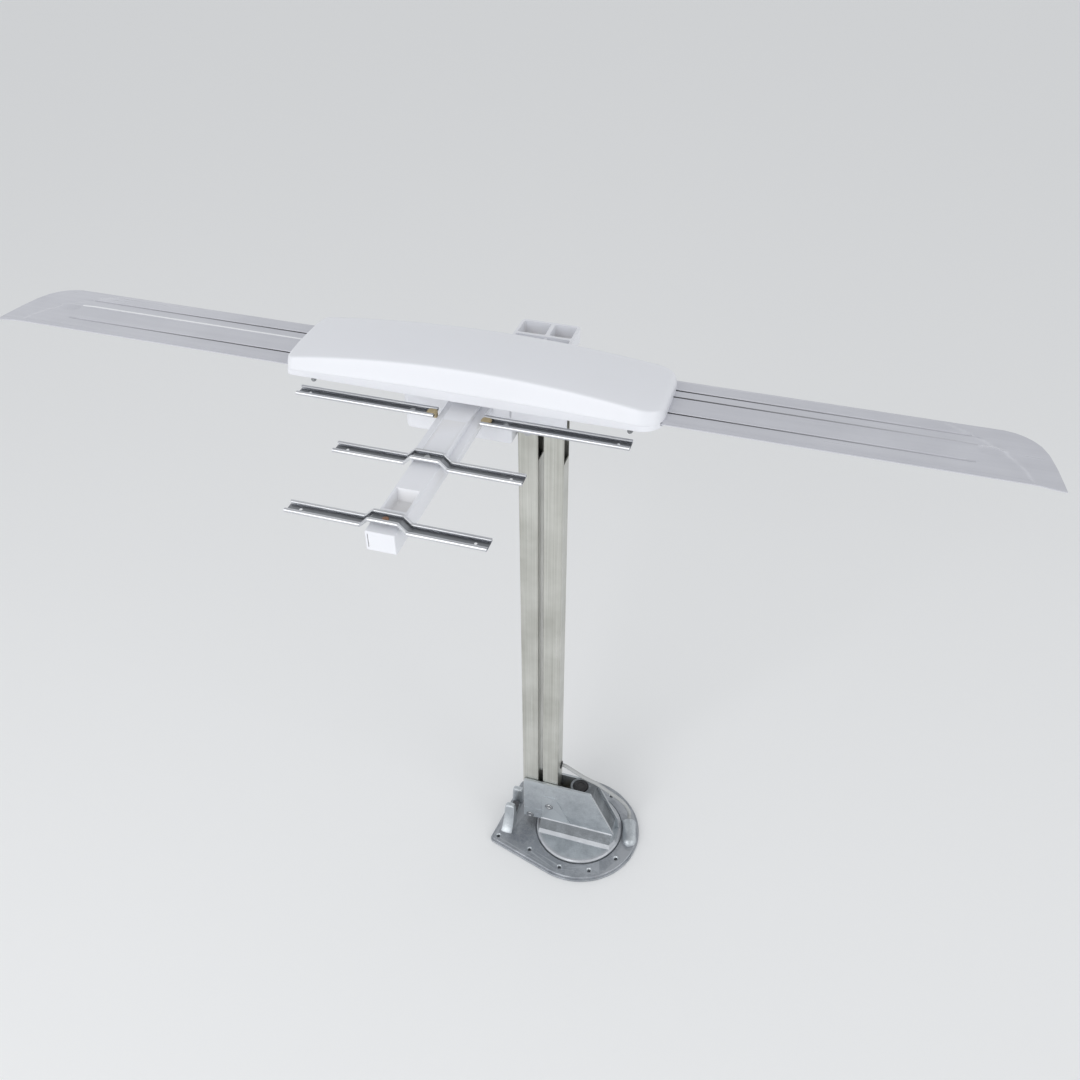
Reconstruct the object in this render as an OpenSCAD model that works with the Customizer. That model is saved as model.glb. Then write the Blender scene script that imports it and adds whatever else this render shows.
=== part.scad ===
// Crank-up TV antenna for a caravan roof, raised on its two-tube mast.
// Frame: origin on the swivel axis at the roof plate's underside, +Z up,
// X along the wings, -Y to the front, where the booster boom points.

/* [Roof plate] */
// radius of the round part of the roof plate
plate_r = 98; // [85:1:115]
// distance from the swivel axis to the plate's straight end
plate_reach = 133; // [115:1:150]
// how far the rear corner of that end stands back from its front corner
end_skew = 14; // [0:1:25]
// half width of the straight end
plate_half = 65; // [50:1:75]
// corner radius of the straight end
corner_r = 8; // [4:1:15]
// thickness of the plate
plate_t = 8; // [6:0.5:12]
// radius of the circle of screw holes
hole_circle = 83; // [76:1:90]
// diameter of a screw hole
hole_d = 5.2; // [4:0.1:6.5]

/* [Turntable] */
// radius of the turntable disc
disc_r = 69.5; // [60:0.5:80]
// height of the turntable disc's top
disc_top = 12; // [10:0.5:16]
// half width over the outside of the cheeks
cheek_y = 17; // [16:0.5:22]
// wall thickness of the cheeks
cheek_t = 3.5; // [3:0.5:5]
// height of the cheeks' top edge
cheek_top = 119.5; // [100:0.5:140]

/* [Mast] */
// outside width of a mast tube
tube_w = 25.4; // [20:0.2:32]
// wall thickness of a mast tube
tube_t = 1.6; // [1.2:0.1:3]
// x of the lift tube's axis when raised
lift_x = -46.5; // [-60:0.5:-40]
// x of the follower tube's axis when raised
follow_x = -78.5; // [-95:0.5:-70]
// height of the lift tube's lower pivot
lift_z = 65; // [50:1:80]
// height of the follower tube's lower pivot
follow_z = 33; // [25:1:50]
// distance between the lower and upper pivots
arm = 741; // [600:1:900]
// height where the slots in the tubes' tops begin
slot_z = 733; // [700:1:760]
// diameter of the pivot pins
pin_d = 8; // [6:0.5:10]

/* [Head] */
// x of the middle of the head
head_x = -138; // [-160:1:-110]
// underside of the main housing
house_z = 826; // [800:1:850]
// length of the main housing
house_l = 448; // [400:1:500]
// depth of the main housing
house_w = 122; // [100:1:140]
// height of the crown over the underside
house_h = 43; // [30:1:60]
// height at the ends over the underside
end_h = 24; // [15:1:35]
// wall thickness of the mouldings
wall = 2.5; // [2:0.5:4]

/* [Wings] */
// reach of a wing tip from the middle of the head
wing_reach = 635; // [500:1:800]
// y of the wing's front edge
wing_front = -43; // [-60:1:-30]
// y of the wing's back edge
wing_back = 52; // [40:1:70]
// thickness of the wing sheet
wing_t = 1.2; // [0.8:0.1:2]

/* [Booster] */
// y of the boom's front end
boom_front = -290; // [-340:1:-240]
// width of the boom's raised panel
panel_w = 32; // [24:1:44]
// width of the boom over its flanges
boom_w = 52; // [40:1:64]
// height of the boom's top
boom_z = 820; // [790:1:840]
// y of the rear, middle and front elements
rear_y = -68; // [-90:1:-62]
mid_y = -163; // [-190:1:-150]
front_y = -273; // [-300:1:-250]
// half length of the rear element
rear_half = 199; // [150:1:240]
// half length of the middle and front elements
dir_half = 107; // [80:1:140]
// width of an element channel
chan_w = 19; // [14:1:24]

/* [Hidden] */
$fn = 48;
eps = 0.01;
step_z = 3.5;
floor_z = 3;
bed_z = 4.6;
hub_r = 13.9;
boom_x = -142;
lift_top = lift_z + arm;
follow_top = follow_z + arm;
tube_in = tube_w - 2 * tube_t;
chan_z = boom_z - 5;
hat_z = boom_z + 4;
wing_z = house_z + 7;
pin_r = pin_d / 2;
hood_x = 76.5;
hood_y = 31.5;
hood_turn = -77;
hood_r = 11.5;
mouth_z = plate_t + 4.4;
horn_x = -111;
rear_top = cheek_top - 6;
screw_y = 54;
gear_m = 2;
gear_teeth = 38;
gear_r = gear_m * gear_teeth / 2;
coax_r = 3;
exit_y = 5;
exit_z = 149;

// route of the coax from the mast to just over the hood, and from there into the hood
coax_route = [[-32, 5, 149], [-27.5, 5, 148.4], [-21, 5, 145.2], [-12, 5, 139.8], [-3, 5, 134.6],
              [6, 5.2, 129.8], [14.5, 5.8, 125.6], [22, 7, 121.2], [29, 9, 114], [35.5, 12, 105.5],
              [42, 15.6, 95.8], [48.5, 19.6, 85.6], [54.5, 24, 75], [60, 28.6, 63.8], [64.8, 32.8, 52.6],
              [68.4, 35.8, 42.5], [71.2, 37.6, 34], [73.4, 38.6, 27], [74.5, 39, 22.8], [74.7, 39, 19.7]];
tail_route = [[74.7, 39, 19], [74.71, 38.95, 18], [74.79, 38.6, 16.74], [75.05, 37.5, 14.76],
              [75.44, 35.8, 13.28], [76.18, 32.6, 12.4], [77.1, 28.6, 12.4], [78.5, 22.5, 12.4],
              [80.3, 14.7, 12.4], [82.3, 6, 12.4]];

// which piece to show

function arc(cx, cy, r, a0, a1, n) =
    [for (i = [0:n]) let (a = a0 + (a1 - a0) * i / n) [cx + r * cos(a), cy + r * sin(a)]];

function unit(v) = v / norm(v);

// direction of a route at its point i
function along(p, i) = unit(p[min(i + 1, len(p) - 1)] - p[max(i - 1, 0)]);

// ring of n points round a route's point i
function ring(p, i, r, n) =
    let (t = along(p, i), u = unit(cross([0.3, -0.9, 0.2], t)), v = cross(t, u))
    [for (k = [0:n - 1]) p[i] + r * cos(360 * k / n) * u + r * sin(360 * k / n) * v];

// angle where the plate's round part meets the line to a corner whose centre is at x, y
function touch(gap, x, y) = atan2(y, x) - acos(gap / norm([x, y]));

// Roof plate

// outline of the plate, set in by d from its edge
module plate_outline(d) {
    big = plate_r - d;
    small = corner_r - d;
    front = -plate_reach + corner_r;
    rear = front + end_skew;
    cy = plate_half - corner_r;
    end = 180 - atan2(end_skew, 2 * cy);
    polygon(concat(
        arc(0, 0, big, -touch(big - small, front, cy), touch(big - small, rear, cy), 72),
        arc(rear, cy, small, touch(big - small, rear, cy), end, 8),
        arc(front, -cy, small, end, 360 - touch(big - small, front, cy), 8)));
}

// places of the roof screw holes
module at_roof_holes() {
    for (a = [-97, -64, -30, 64, 97])
        rotate(a) translate([hole_circle, 0, 0]) children();
    for (s = [-1, 1]) {
        translate([-65, s * 65, 0]) children();
        translate([-114 + s * 7, s * 55, 0]) children();
    }
}

// one buttress horn that guides the lowered mast, side is -1 for the front
module horn(side, x, top, foot) {
    translate([x, 0, 0])
        rotate([90, 0, 90])
        linear_extrude(height = 15, center = true)
        polygon(concat([[side * foot, plate_t], [side * (foot - 8), 14], [side * 29, top - 19]],
            [for (i = [0:6]) let (a = 20 + 120 * i / 6) [side * (21 + 5 * cos(a)), top - 5 + 5 * sin(a)]],
            [[side * 16, top - 7], [side * 16, plate_t]]));
}

module travel_horns() {
    color("#c4c8cc") {
        horn(-1, horn_x, 52, 48);
        horn(1, horn_x - 0.5, 41, 40);
    }
}

// hood that the coax runs into
module hood() {
    translate([hood_x, hood_y, plate_t - 1]) rotate(hood_turn) {
        intersection() {
            union() {
                rotate([0, 90, 0]) cylinder(h = 36, r = hood_r);
                translate([36, 0, 0]) sphere(r = hood_r - 0.05);
            }
            translate([-1, -15, 0]) cube([60, 30, 20]);
        }
    }
}

module base_plate() {
    color("#a6a9ac") difference() {
        union() {
            linear_extrude(height = step_z) plate_outline(0);
            translate([0, 0, step_z - eps]) linear_extrude(height = plate_t - step_z) plate_outline(2);
            hood();
            translate([horn_x - 6, -11, plate_t - 1]) cube([12, 22, 5]);
        }
        translate([0, 0, bed_z - 0.2]) cylinder(h = 20, r = disc_r + 1.5, $fn = 96);
        // groove of the bearing ring
        translate([0, 0, bed_z - 1.4]) difference() {
            cylinder(h = 2, r = disc_r - 1.8, $fn = 96);
            translate([0, 0, -1]) cylinder(h = 4, r = 55.8);
        }
        translate([0, 0, -1]) cylinder(h = 20, r = hub_r + 0.1);
        translate([0, 0, -1]) cylinder(h = 1 + floor_z, r = 24);
        at_roof_holes() {
            translate([0, 0, -1]) cylinder(h = 20, r = hole_d / 2);
            translate([0, 0, plate_t - 1.6]) cylinder(h = 1.7, r1 = hole_d / 2, r2 = hole_d / 2 + 1.7);
        }
        // mouth of the hood
        translate([hood_x, hood_y, mouth_z]) rotate(hood_turn) rotate([0, 90, 0])
            translate([0, 0, -2]) cylinder(h = 31, r = 4.2);
    }
}

module bearing_ring() {
    color("#202225") translate([0, 0, bed_z - 1.4])
        difference() {
            cylinder(h = 1.3, r = disc_r - 2, $fn = 96);
            translate([0, 0, -1]) cylinder(h = 4, r = 56);
        }
}

module rest_pad() {
    color("#55585c") translate([horn_x - 5, -10, plate_t + 4]) cube([10, 20, 8]);
}

// Turntable

// side profile of a cheek up to its top edge, in x and z
module cheek_profile(top) {
    slope = 40 / (cheek_top - 33);
    polygon([[-86, top], [-89, top - 4], [-89, 28], [-60, 28], [-60, disc_top - 1],
             [60, disc_top - 1], [60, 33], [60 - (top - 33) * slope, top]]);
}

// foot that widens from the cheeks down to the disc, in y and z
module foot_profile() {
    polygon([[-33, disc_top - 1], [-33, disc_top + 0.3], [-26.5, disc_top + 4], [-cheek_y, 33],
             [-cheek_y + cheek_t, 33], [-cheek_y + cheek_t, disc_top - 1]]);
}

module in_xz(y0, y1) {
    translate([0, y1, 0]) rotate([90, 0, 0]) linear_extrude(height = y1 - y0) children();
}

module gear_housing() {
    inner = cheek_y - cheek_t;
    color("#b4b8bc") difference() {
        union() {
            translate([0, 0, bed_z]) cylinder(h = disc_top - bed_z - 2, r = disc_r, $fn = 96);
            translate([0, 0, disc_top - 2 - eps]) cylinder(h = 2, r1 = disc_r, r2 = disc_r - 2, $fn = 96);
            translate([0, 0, 1]) cylinder(h = bed_z, r = hub_r);
            in_xz(-cheek_y, -inner) cheek_profile(cheek_top);
            in_xz(inner, cheek_y) cheek_profile(rear_top);
            for (s = [0, 1]) mirror([0, s, 0])
                translate([-60, 0, 0]) rotate([90, 0, 90]) linear_extrude(height = 120) foot_profile();
            // sloping end wall
            in_xz(-cheek_y + 1, cheek_y - 1)
                polygon([[14, 113], [18.6, 113], [56.4, 31.3], [56.4, disc_top - 1],
                         [52.4, disc_top - 1], [52.4, 30]]);
            // block that carries the worm's top bush
            translate([0, 0, 100]) cylinder(h = 14, r = 16);
            translate([-3, -inner - 1, 100]) cube([24, 2 * inner + 2, 14]);
            // raised pad round the upper pin
            in_xz(-cheek_y - 1.2, -cheek_y + 1)
                polygon([[-58, 34], [-58, 89], [-36, 89], [-11, 34]]);
            // raised pad round the lower pin
            in_xz(-cheek_y - 0.8, -cheek_y + 1)
                polygon([[-88, 29], [-88, 50], [-57, 50], [-57, 29]]);
        }
        // pin bores
        for (p = [[lift_x, lift_z], [follow_x, follow_z]])
            translate([p[0], 0, p[1]]) rotate([90, 0, 0])
                cylinder(h = 60, r = pin_r, center = true);
        // bore for the worm
        translate([0, 0, -1]) cylinder(h = 130, r = 7);
        translate([0, 0, 90]) cylinder(h = 17, r = 9);
        translate([0, 0, 110]) cylinder(h = 20, r = 12.5);
    }
}

module retaining_ring() {
    color("#8d9094") difference() {
        translate([0, 0, 0.6]) cylinder(h = 2.2, r = 20);
        translate([0, 0, -1]) cylinder(h = 10, r = hub_r);
    }
}

module bore_plug() {
    color("#17181a") translate([0, 0, 110]) {
        cylinder(h = 3.2, r = 12.5);
        translate([0, 0, 3]) cylinder(h = 2.5, r = 11.5, $fn = 6);
    }
}

module worm_bushing() {
    color("#c9c2a8") difference() {
        translate([0, 0, 98]) cylinder(h = 9, r = 9);
        translate([0, 0, 90]) cylinder(h = 30, r = 5.05);
    }
}

// a pin across y with a round head in front and a clinched end behind
module cross_pin(x, z, half) {
    translate([x, 0, z]) rotate([90, 0, 0]) {
        cylinder(h = 2 * half, r = pin_r, center = true);
        translate([0, 0, half]) cylinder(h = 2, r1 = pin_r + 1.8, r2 = pin_r + 0.8);
        translate([0, 0, -half - 2]) cylinder(h = 2, r1 = pin_r + 0.8, r2 = pin_r + 1.6);
    }
}

module lower_pivot_pins() {
    color("#9ea1a5") {
        cross_pin(lift_x, lift_z, cheek_y + 1.3);
        cross_pin(follow_x, follow_z, cheek_y + 0.9);
    }
}

module worm() {
    color("#b08d4a") difference() {
        union() {
            translate([0, 0, 1.5]) cylinder(h = 104, r = 5);
            translate([0, 0, 1.5]) cylinder(h = 40, r = 6.9);
            // thread: a round bar turned about the axis
            translate([0, 0, lift_z - 22])
                linear_extrude(height = 44, twist = -360 * 7, slices = 112)
                translate([1.6, 0]) circle(r = 6.9, $fn = 16);
        }
        // hexagon socket for the crank
        translate([0, 0, -1]) cylinder(h = 16, r = 4.6, $fn = 6);
    }
}

// Mast

// square tube with rounded ends about its pivots, open on its right side at the top
module mast_tube(x, z0, z1) {
    half = tube_w / 2;
    inner = tube_in / 2;
    difference() {
        union() {
            translate([x - half, -half, z0]) cube([tube_w, tube_w, z1 - z0]);
            for (z = [z0, z1])
                translate([x, 0, z]) rotate([90, 0, 0]) cylinder(h = tube_w, r = half - 0.02, center = true);
        }
        translate([x - inner, -inner, z0 - 30]) cube([tube_in, tube_in, z1 - z0 + 60]);
        // slot that the bracket's tongue passes through when the mast is down
        translate([x, -inner, slot_z]) cube([half + 1, tube_in, 200]);
        for (z = [z0, z1])
            translate([x, 0, z]) rotate([90, 0, 0]) cylinder(h = 60, r = pin_r + 0.05, center = true);
    }
}

module lift_tube() {
    color("#b9b9b2") difference() {
        mast_tube(lift_x, lift_z, lift_top);
        // room for the gear sector at the foot
        translate([lift_x, -6, lift_z - 30]) cube([30, 12, 48]);
        // exit of the coax
        translate([lift_x, exit_y, exit_z]) rotate([0, 90, 0]) cylinder(h = 30, r = 5);
    }
}

module follower_tube() {
    color("#b9b9b2") mast_tube(follow_x, follow_z, follow_top);
}

// gear sector, teeth from the worm downward so that they reach it as the mast is lowered
module sector_gear() {
    pitch = 360 / gear_teeth;
    color("#8f7f55") translate([lift_x, 0, lift_z]) rotate([90, 0, 0])
        difference() {
            linear_extrude(height = 10, center = true)
                polygon(concat(
                    [for (i = [0:10], k = [0:3])
                        let (a = -10.25 * pitch + i * pitch + [0, 0.22, 0.42, 0.64][k] * pitch,
                             r = [gear_r - 3.2, gear_r - 0.3, gear_r - 0.3, gear_r - 3.2][k])
                        [r * cos(a), r * sin(a)]],
                    [[gear_r - 6, 3], [10, 10], [-9, 10], [-9, -8], [-6, -gear_r + 12]]));
            cylinder(h = 30, r = pin_r + 0.05, center = true);
        }
}

module cable_grommet() {
    color("#1b1c1e") translate([lift_x + tube_w / 2 - tube_t, exit_y, exit_z]) rotate([0, 90, 0])
        difference() {
            union() {
                translate([0, 0, 0.02]) cylinder(h = tube_t, r = 4.98);
                translate([0, 0, tube_t]) cylinder(h = 1.4, r = 6.4);
            }
            translate([0, 0, -5]) cylinder(h = 20, r = 3.2);
        }
}

// round tube along a route, its ends flat
module cable(p, r, n) {
    last = len(p) - 1;
    polyhedron(
        points = [for (i = [0:last]) each ring(p, i, r, n)],
        faces = concat(
            [[for (k = [0:n - 1]) k]],
            [[for (k = [n - 1:-1:0]) last * n + k]],
            [for (i = [0:last - 1], k = [0:n - 1], h = [0, 1])
                let (a = i * n + k, b = i * n + (k + 1) % n)
                h == 0 ? [a, a + n, b] : [b, a + n, b + n]]));
}

module coax_cable() {
    color("#b4b5b5") cable(coax_route, coax_r, 10);
}

module coax_tail() {
    color("#b4b5b5") cable(tail_route, coax_r, 10);
}

// Head

// tongue that hangs inside a tube's top
module tongue(x, z) {
    translate([x, 0, z]) rotate([90, 0, 0]) cylinder(h = 16, r = 8, center = true);
    translate([x - 7.98, -8, z]) cube([15.96, 16, house_z - 3 - z]);
}

module head_bracket() {
    color("#54575b") difference() {
        union() {
            translate([-91.5, -24, house_z - 3]) cube([63.5, 48, 3]);
            tongue(lift_x, lift_top);
            tongue(follow_x, follow_top);
        }
        for (p = [[lift_x, lift_top], [follow_x, follow_top]])
            translate([p[0], 0, p[1]]) rotate([90, 0, 0]) cylinder(h = 60, r = pin_r, center = true);
    }
}

module upper_pivot_pins() {
    color("#9ea1a5") {
        cross_pin(lift_x, lift_top, tube_w / 2 + 0.4);
        cross_pin(follow_x, follow_top, tube_w / 2 + 0.4);
    }
}

module lower_housing() {
    x0 = -229;
    x1 = -92;
    z0 = 763;
    color("#f4f5f7") difference() {
        translate([0, 0, z0]) linear_extrude(height = house_z - z0) polygon(concat(
            arc(x0 + 8, 22, 8, 90, 180, 6), arc(x0 + 8, -22, 8, 180, 270, 6),
            arc(x1 - 3, -27, 3, 270, 360, 4), arc(x1 - 3, 27, 3, 0, 90, 4)));
        translate([x0 + wall, -30 + wall, z0 + wall]) cube([x1 - x0 - 2 * wall, 60 - 2 * wall, 100]);
        translate([-200, 0, z0 - 1]) cylinder(h = 10, r = 4.8);
    }
}

// outline of the main housing in plan, set in by d
module house_outline(d) {
    hx = house_l / 2 - d;
    hy = house_w / 2 - d;
    soft = 26 - d;
    crisp = 8 - d;
    bulge = 1.5;
    translate([head_x, 0]) polygon(concat(
        arc(hx - soft, hy - soft - bulge, soft, 0, 86, 8), [[0, hy]],
        arc(crisp - hx, hy - crisp - bulge, crisp, 94, 180, 6),
        arc(crisp - hx, crisp + bulge - hy, crisp, 180, 266, 6), [[0, -hy]],
        arc(hx - soft, soft + bulge - hy, soft, 274, 360, 8)));
}

// crowned front view of the housing in x and z, lowered by d
module crown_profile(d) {
    hx = house_l / 2 - d;
    span = hx - 16;
    drop = house_h - end_h - 3;
    translate([head_x, 0]) polygon(concat([[-hx, -20], [-hx, end_h - 11 - d]],
        [for (i = [-12:12]) [span * i / 12, house_h - d - drop * pow(i / 12, 2)]],
        [[hx, end_h - 11 - d], [hx, -20]]));
}

// end view of the housing in y and z, lowered by d
module slope_profile(d) {
    hy = house_w / 2 - d;
    polygon([[-hy, -20], [-hy, 0], [-hy + 10.5, house_h - 3 - d], [-hy + 13, house_h + 5],
             [hy - 13, house_h + 5], [hy - 10.5, house_h - 3 - d], [hy, 0], [hy, -20]]);
}

module house_block(d) {
    intersection() {
        linear_extrude(height = house_h + 2) house_outline(d);
        in_xz(-house_w, house_w) crown_profile(d);
        translate([head_x - house_l, 0, 0]) rotate([90, 0, 90])
            linear_extrude(height = 2 * house_l) slope_profile(d);
    }
}

module upper_housing() {
    color("#f1f2f4") translate([0, 0, house_z]) difference() {
        house_block(0);
        translate([0, 0, -1]) house_block(wall);
        translate([0, 0, -5]) cylinder(h = 5 + 4, r = 2000);
        // slots that the wings pass out through
        for (s = [0, 1])
            translate([head_x + (s - 1) * 300, wing_front - 1, 6])
                cube([300, wing_back - wing_front + 2, 4]);
    }
}

module housing_base() {
    color("#eceef1") translate([0, 0, house_z]) difference() {
        union() {
            linear_extrude(height = 4) house_outline(0);
            for (s = [-1, 1])
                translate([head_x + s * 150 - 24, -38, 3]) cube([48, 76, wing_z - house_z - 3]);
            // skirt that hides the bracket from the front
            translate([-91.8, -33, -28]) cube([66, 3.5, 29]);
        }
        for (x = [-1, 1], y = [-1, 1])
            translate([head_x + x * 190, y * screw_y, -5]) cylinder(h = 20, r = 1.8);
        for (s = [-1, 1], y = [-25, 25])
            translate([head_x + s * 150, y, -5]) cylinder(h = 20, r = 2.1);
    }
}

module housing_screws() {
    color("#9ea1a5") for (x = [-1, 1], y = [-1, 1])
        translate([head_x + x * 190, y * screw_y, house_z]) {
            translate([0, 0, -2]) cylinder(h = 2, r1 = 2.6, r2 = 3.4);
            translate([0, 0, -eps]) cylinder(h = 9, r = 1.7);
        }
}

module amplifier_board() {
    color("#2f6b45") {
        translate([head_x - 55, -30, house_z + 9]) cube([90, 60, 1.6]);
        for (x = [-50, 30], y = [-26, 22])
            translate([head_x + x, y, house_z + 4]) cube([4, 4, 5.2]);
    }
}

module coax_socket() {
    color("#c4a95c") translate([-200, 0, 753]) difference() {
        union() {
            cylinder(h = 22, r = 4.7);
            translate([0, 0, 7]) cylinder(h = 3, r = 6.6, $fn = 6);
        }
        translate([0, 0, -1]) cylinder(h = 10, r = 2.6);
    }
}

// one wing, from its root inside the housing to the swept tip, for the right side
module wing() {
    difference() {
        union() {
            linear_extrude(height = wing_t) polygon(concat(
                [[128, wing_front], [600, wing_front], [wing_reach, wing_front - 4]],
                [[wing_reach - 12, 16], [wing_reach - 24, 36], [wing_reach - 36, 46]],
                [[wing_reach - 54, wing_back],
                 [128, wing_back]]));
            // embossed ribs, two grooves and a ridge between them
            for (y = [-20, 12, 29])
                translate([230, y - 1.6, wing_t - eps]) cube([318, 3.2, 1.4]);
            // oval boss at the outer end of the ridge
            translate([560, 4, wing_t - eps]) cylinder(h = 2.4, r1 = 9, r2 = 6);
        }
        for (y = [-25, 25])
            translate([150, y, -5]) cylinder(h = 20, r = 2.1);
    }
}

module right_wing() {
    color("#d5d7da") translate([head_x, 0, wing_z]) wing();
}

module left_wing() {
    color("#d5d7da") translate([head_x, 0, wing_z]) mirror([1, 0, 0]) wing();
}

module wing_bolts() {
    color("#9ea1a5") for (s = [-1, 1], y = [-25, 25])
        translate([head_x + s * 150, y, 0]) {
            translate([0, 0, house_z + 1]) cylinder(h = wing_z - house_z + 2, r = 2);
            translate([0, 0, wing_z + wing_t]) cylinder(h = 2.5, r = 4);
        }
}

module back_clip() {
    y0 = house_w / 2 + 0.1;
    color("#f1f2f4") translate([0, 0, house_z]) difference() {
        union() {
            translate([-128, y0, 0]) cube([76, 66, 19]);
            translate([-118, y0 - 14, -3]) cube([56, 16, 3]);
        }
        translate([-124, y0 + 4, 3]) cube([68, 24, 30]);
        translate([-124, y0 + 32, 3]) cube([35, 30, 30]);
        translate([-84, y0 + 32, 3]) cube([28, 30, 30]);
    }
}

module booster_boom() {
    root = -30.1;
    step = -158;
    color("#f5f6f8") difference() {
        union() {
            // flanged rear length
            translate([boom_x - boom_w / 2, step, boom_z - 16]) cube([boom_w, root - step, 11]);
            // raised panel to the front end
            translate([boom_x - panel_w / 2, boom_front, boom_z - 24])
                cube([panel_w, root - boom_front, 24]);
            // ridges along the panel
            for (s = [-1, 1])
                translate([boom_x + s * (panel_w / 2 - 1.5) - 1.5, step + 2, boom_z - 1])
                    cube([3, rear_y - 14 - step, 1.8]);
        }
        // open underside
        translate([boom_x - panel_w / 2 + wall, boom_front + wall, boom_z - 28])
            cube([panel_w - 2 * wall, root - boom_front - 2 * wall, 16]);
        // pocket behind the front element
        translate([boom_x - panel_w / 2 + 3, front_y + 22, boom_z - 10])
            cube([panel_w - 6, 36, 20]);
        // seats that the elements' hats straddle
        for (y = [mid_y, front_y])
            translate([boom_x, y, boom_z - 20]) cylinder(h = 40, r = 2.1);
    }
}

// straight run of element channel from x0 to x1 with its floor at z
module channel(x0, x1, y, z) {
    half = chan_w / 2;
    translate([x0, y - half + 2, z]) cube([x1 - x0, chan_w - 4, 1.2]);
    for (s = [-1, 1])
        translate([x0, y + s * (half - 2), z + 2.2]) rotate([0, 90, 0])
            cylinder(h = x1 - x0, r = 2, $fn = 24);
}

// sloping length between the channel and its hat
module channel_step(x0, z0, x1, z1, y) {
    half = chan_w / 2;
    translate([0, y, 0]) in_xz(-half + 0.1, half - 0.1)
        polygon([[x0, z0], [x1, z1], [x1, z1 + 3.6], [x0, z0 + 3.6]]);
}

// a director that steps up over the boom as a hat
module director(y) {
    flat = panel_w / 2 + 1;
    foot = flat + 7;
    difference() {
        union() {
            channel(boom_x - dir_half, boom_x - foot + 0.5, y, chan_z);
            channel(boom_x + foot - 0.5, boom_x + dir_half, y, chan_z);
            channel(boom_x - flat, boom_x + flat, y, hat_z);
            channel_step(boom_x - foot, chan_z, boom_x - flat, hat_z, y);
            channel_step(boom_x + foot, chan_z, boom_x + flat, hat_z, y);
        }
        translate([boom_x, y, boom_z - 5]) cylinder(h = 20, r = 2.1);
        for (s = [-1, 1])
            translate([boom_x + s * (dir_half - 14), y, chan_z - 5]) cylinder(h = 20, r = 2);
    }
}

module middle_element() {
    color("#c7cacd") director(mid_y);
}

module front_element() {
    color("#c7cacd") director(front_y);
}

module rear_half_element(s) {
    x_in = boom_x + s * (boom_w / 2 + 2);
    x_out = boom_x + s * rear_half;
    difference() {
        channel(min(x_in, x_out), max(x_in, x_out), rear_y, chan_z);
        translate([x_in + s * 28, rear_y, chan_z - 5]) cylinder(h = 20, r = 2.1);
    }
}

module rear_element_left() {
    color("#c7cacd") rear_half_element(-1);
}

module rear_element_right() {
    color("#c7cacd") rear_half_element(1);
}

// insulator blocks between the halves of the rear element and the boom's flanges
module element_insulators() {
    color("#b9a779") for (s = [-1, 1])
        translate([boom_x + s * (boom_w / 2 + 18) - 18, rear_y - 5, chan_z - 5]) cube([36, 10, 5]);
}

module element_rivets() {
    color("#a5704f") {
        for (y = [mid_y, front_y])
            translate([boom_x, y, 0]) {
                translate([0, 0, boom_z - 3.9]) cylinder(h = 10, r = 2);
                translate([0, 0, hat_z + 1.2]) cylinder(h = 1.8, r1 = 3.6, r2 = 2.6);
            }
        for (s = [-1, 1])
            translate([boom_x + s * (boom_w / 2 + 30), rear_y, 0]) {
                translate([0, 0, chan_z + 0.1]) cylinder(h = 2, r = 2);
                translate([0, 0, chan_z + 1.2]) cylinder(h = 1.6, r1 = 3.6, r2 = 2.8);
            }
    }
}

base_plate();
travel_horns();
bearing_ring();
rest_pad();
gear_housing();
retaining_ring();
bore_plug();
worm_bushing();
lower_pivot_pins();
worm();
lift_tube();
sector_gear();
cable_grommet();
follower_tube();
head_bracket();
upper_pivot_pins();
lower_housing();
housing_base();
upper_housing();
housing_screws();
amplifier_board();
coax_socket();
left_wing();
right_wing();
wing_bolts();
back_clip();
booster_boom();
rear_element_left();
rear_element_right();
element_insulators();
middle_element();
front_element();
element_rivets();
coax_cable();
coax_tail();
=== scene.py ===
"""Looks of a crank-up TV antenna for a caravan roof, built round its packed CAD frame."""

import math

import bmesh
import bpy
from bpy.props import FloatProperty, FloatVectorProperty, PointerProperty
from mathutils import Matrix, Vector


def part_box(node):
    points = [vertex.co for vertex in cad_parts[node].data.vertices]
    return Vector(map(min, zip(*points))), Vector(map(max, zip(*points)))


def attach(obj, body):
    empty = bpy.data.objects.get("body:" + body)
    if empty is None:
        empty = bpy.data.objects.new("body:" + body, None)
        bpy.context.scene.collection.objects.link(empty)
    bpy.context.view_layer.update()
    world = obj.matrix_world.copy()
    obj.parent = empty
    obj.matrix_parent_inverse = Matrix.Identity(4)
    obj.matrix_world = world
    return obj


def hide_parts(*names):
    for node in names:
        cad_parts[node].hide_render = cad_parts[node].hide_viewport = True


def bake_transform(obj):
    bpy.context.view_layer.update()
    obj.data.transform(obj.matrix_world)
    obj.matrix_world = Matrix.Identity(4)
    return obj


bl_info = {
    "name": "Caravan TV antenna",
    "version": (1, 0, 0),
    "blender": (4, 5, 0),
    "location": "3D View > Sidebar > Antenna",
    "description": "Builds the visual pieces of a crank-up caravan TV antenna",
    "category": "Object",
}

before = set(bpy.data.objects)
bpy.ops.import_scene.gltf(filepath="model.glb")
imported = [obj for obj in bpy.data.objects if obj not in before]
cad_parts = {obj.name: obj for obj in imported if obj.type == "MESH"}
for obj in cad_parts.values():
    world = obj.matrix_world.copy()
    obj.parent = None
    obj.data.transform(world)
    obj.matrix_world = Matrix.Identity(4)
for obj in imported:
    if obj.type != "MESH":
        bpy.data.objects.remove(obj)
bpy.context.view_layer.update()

MM = 0.001

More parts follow.
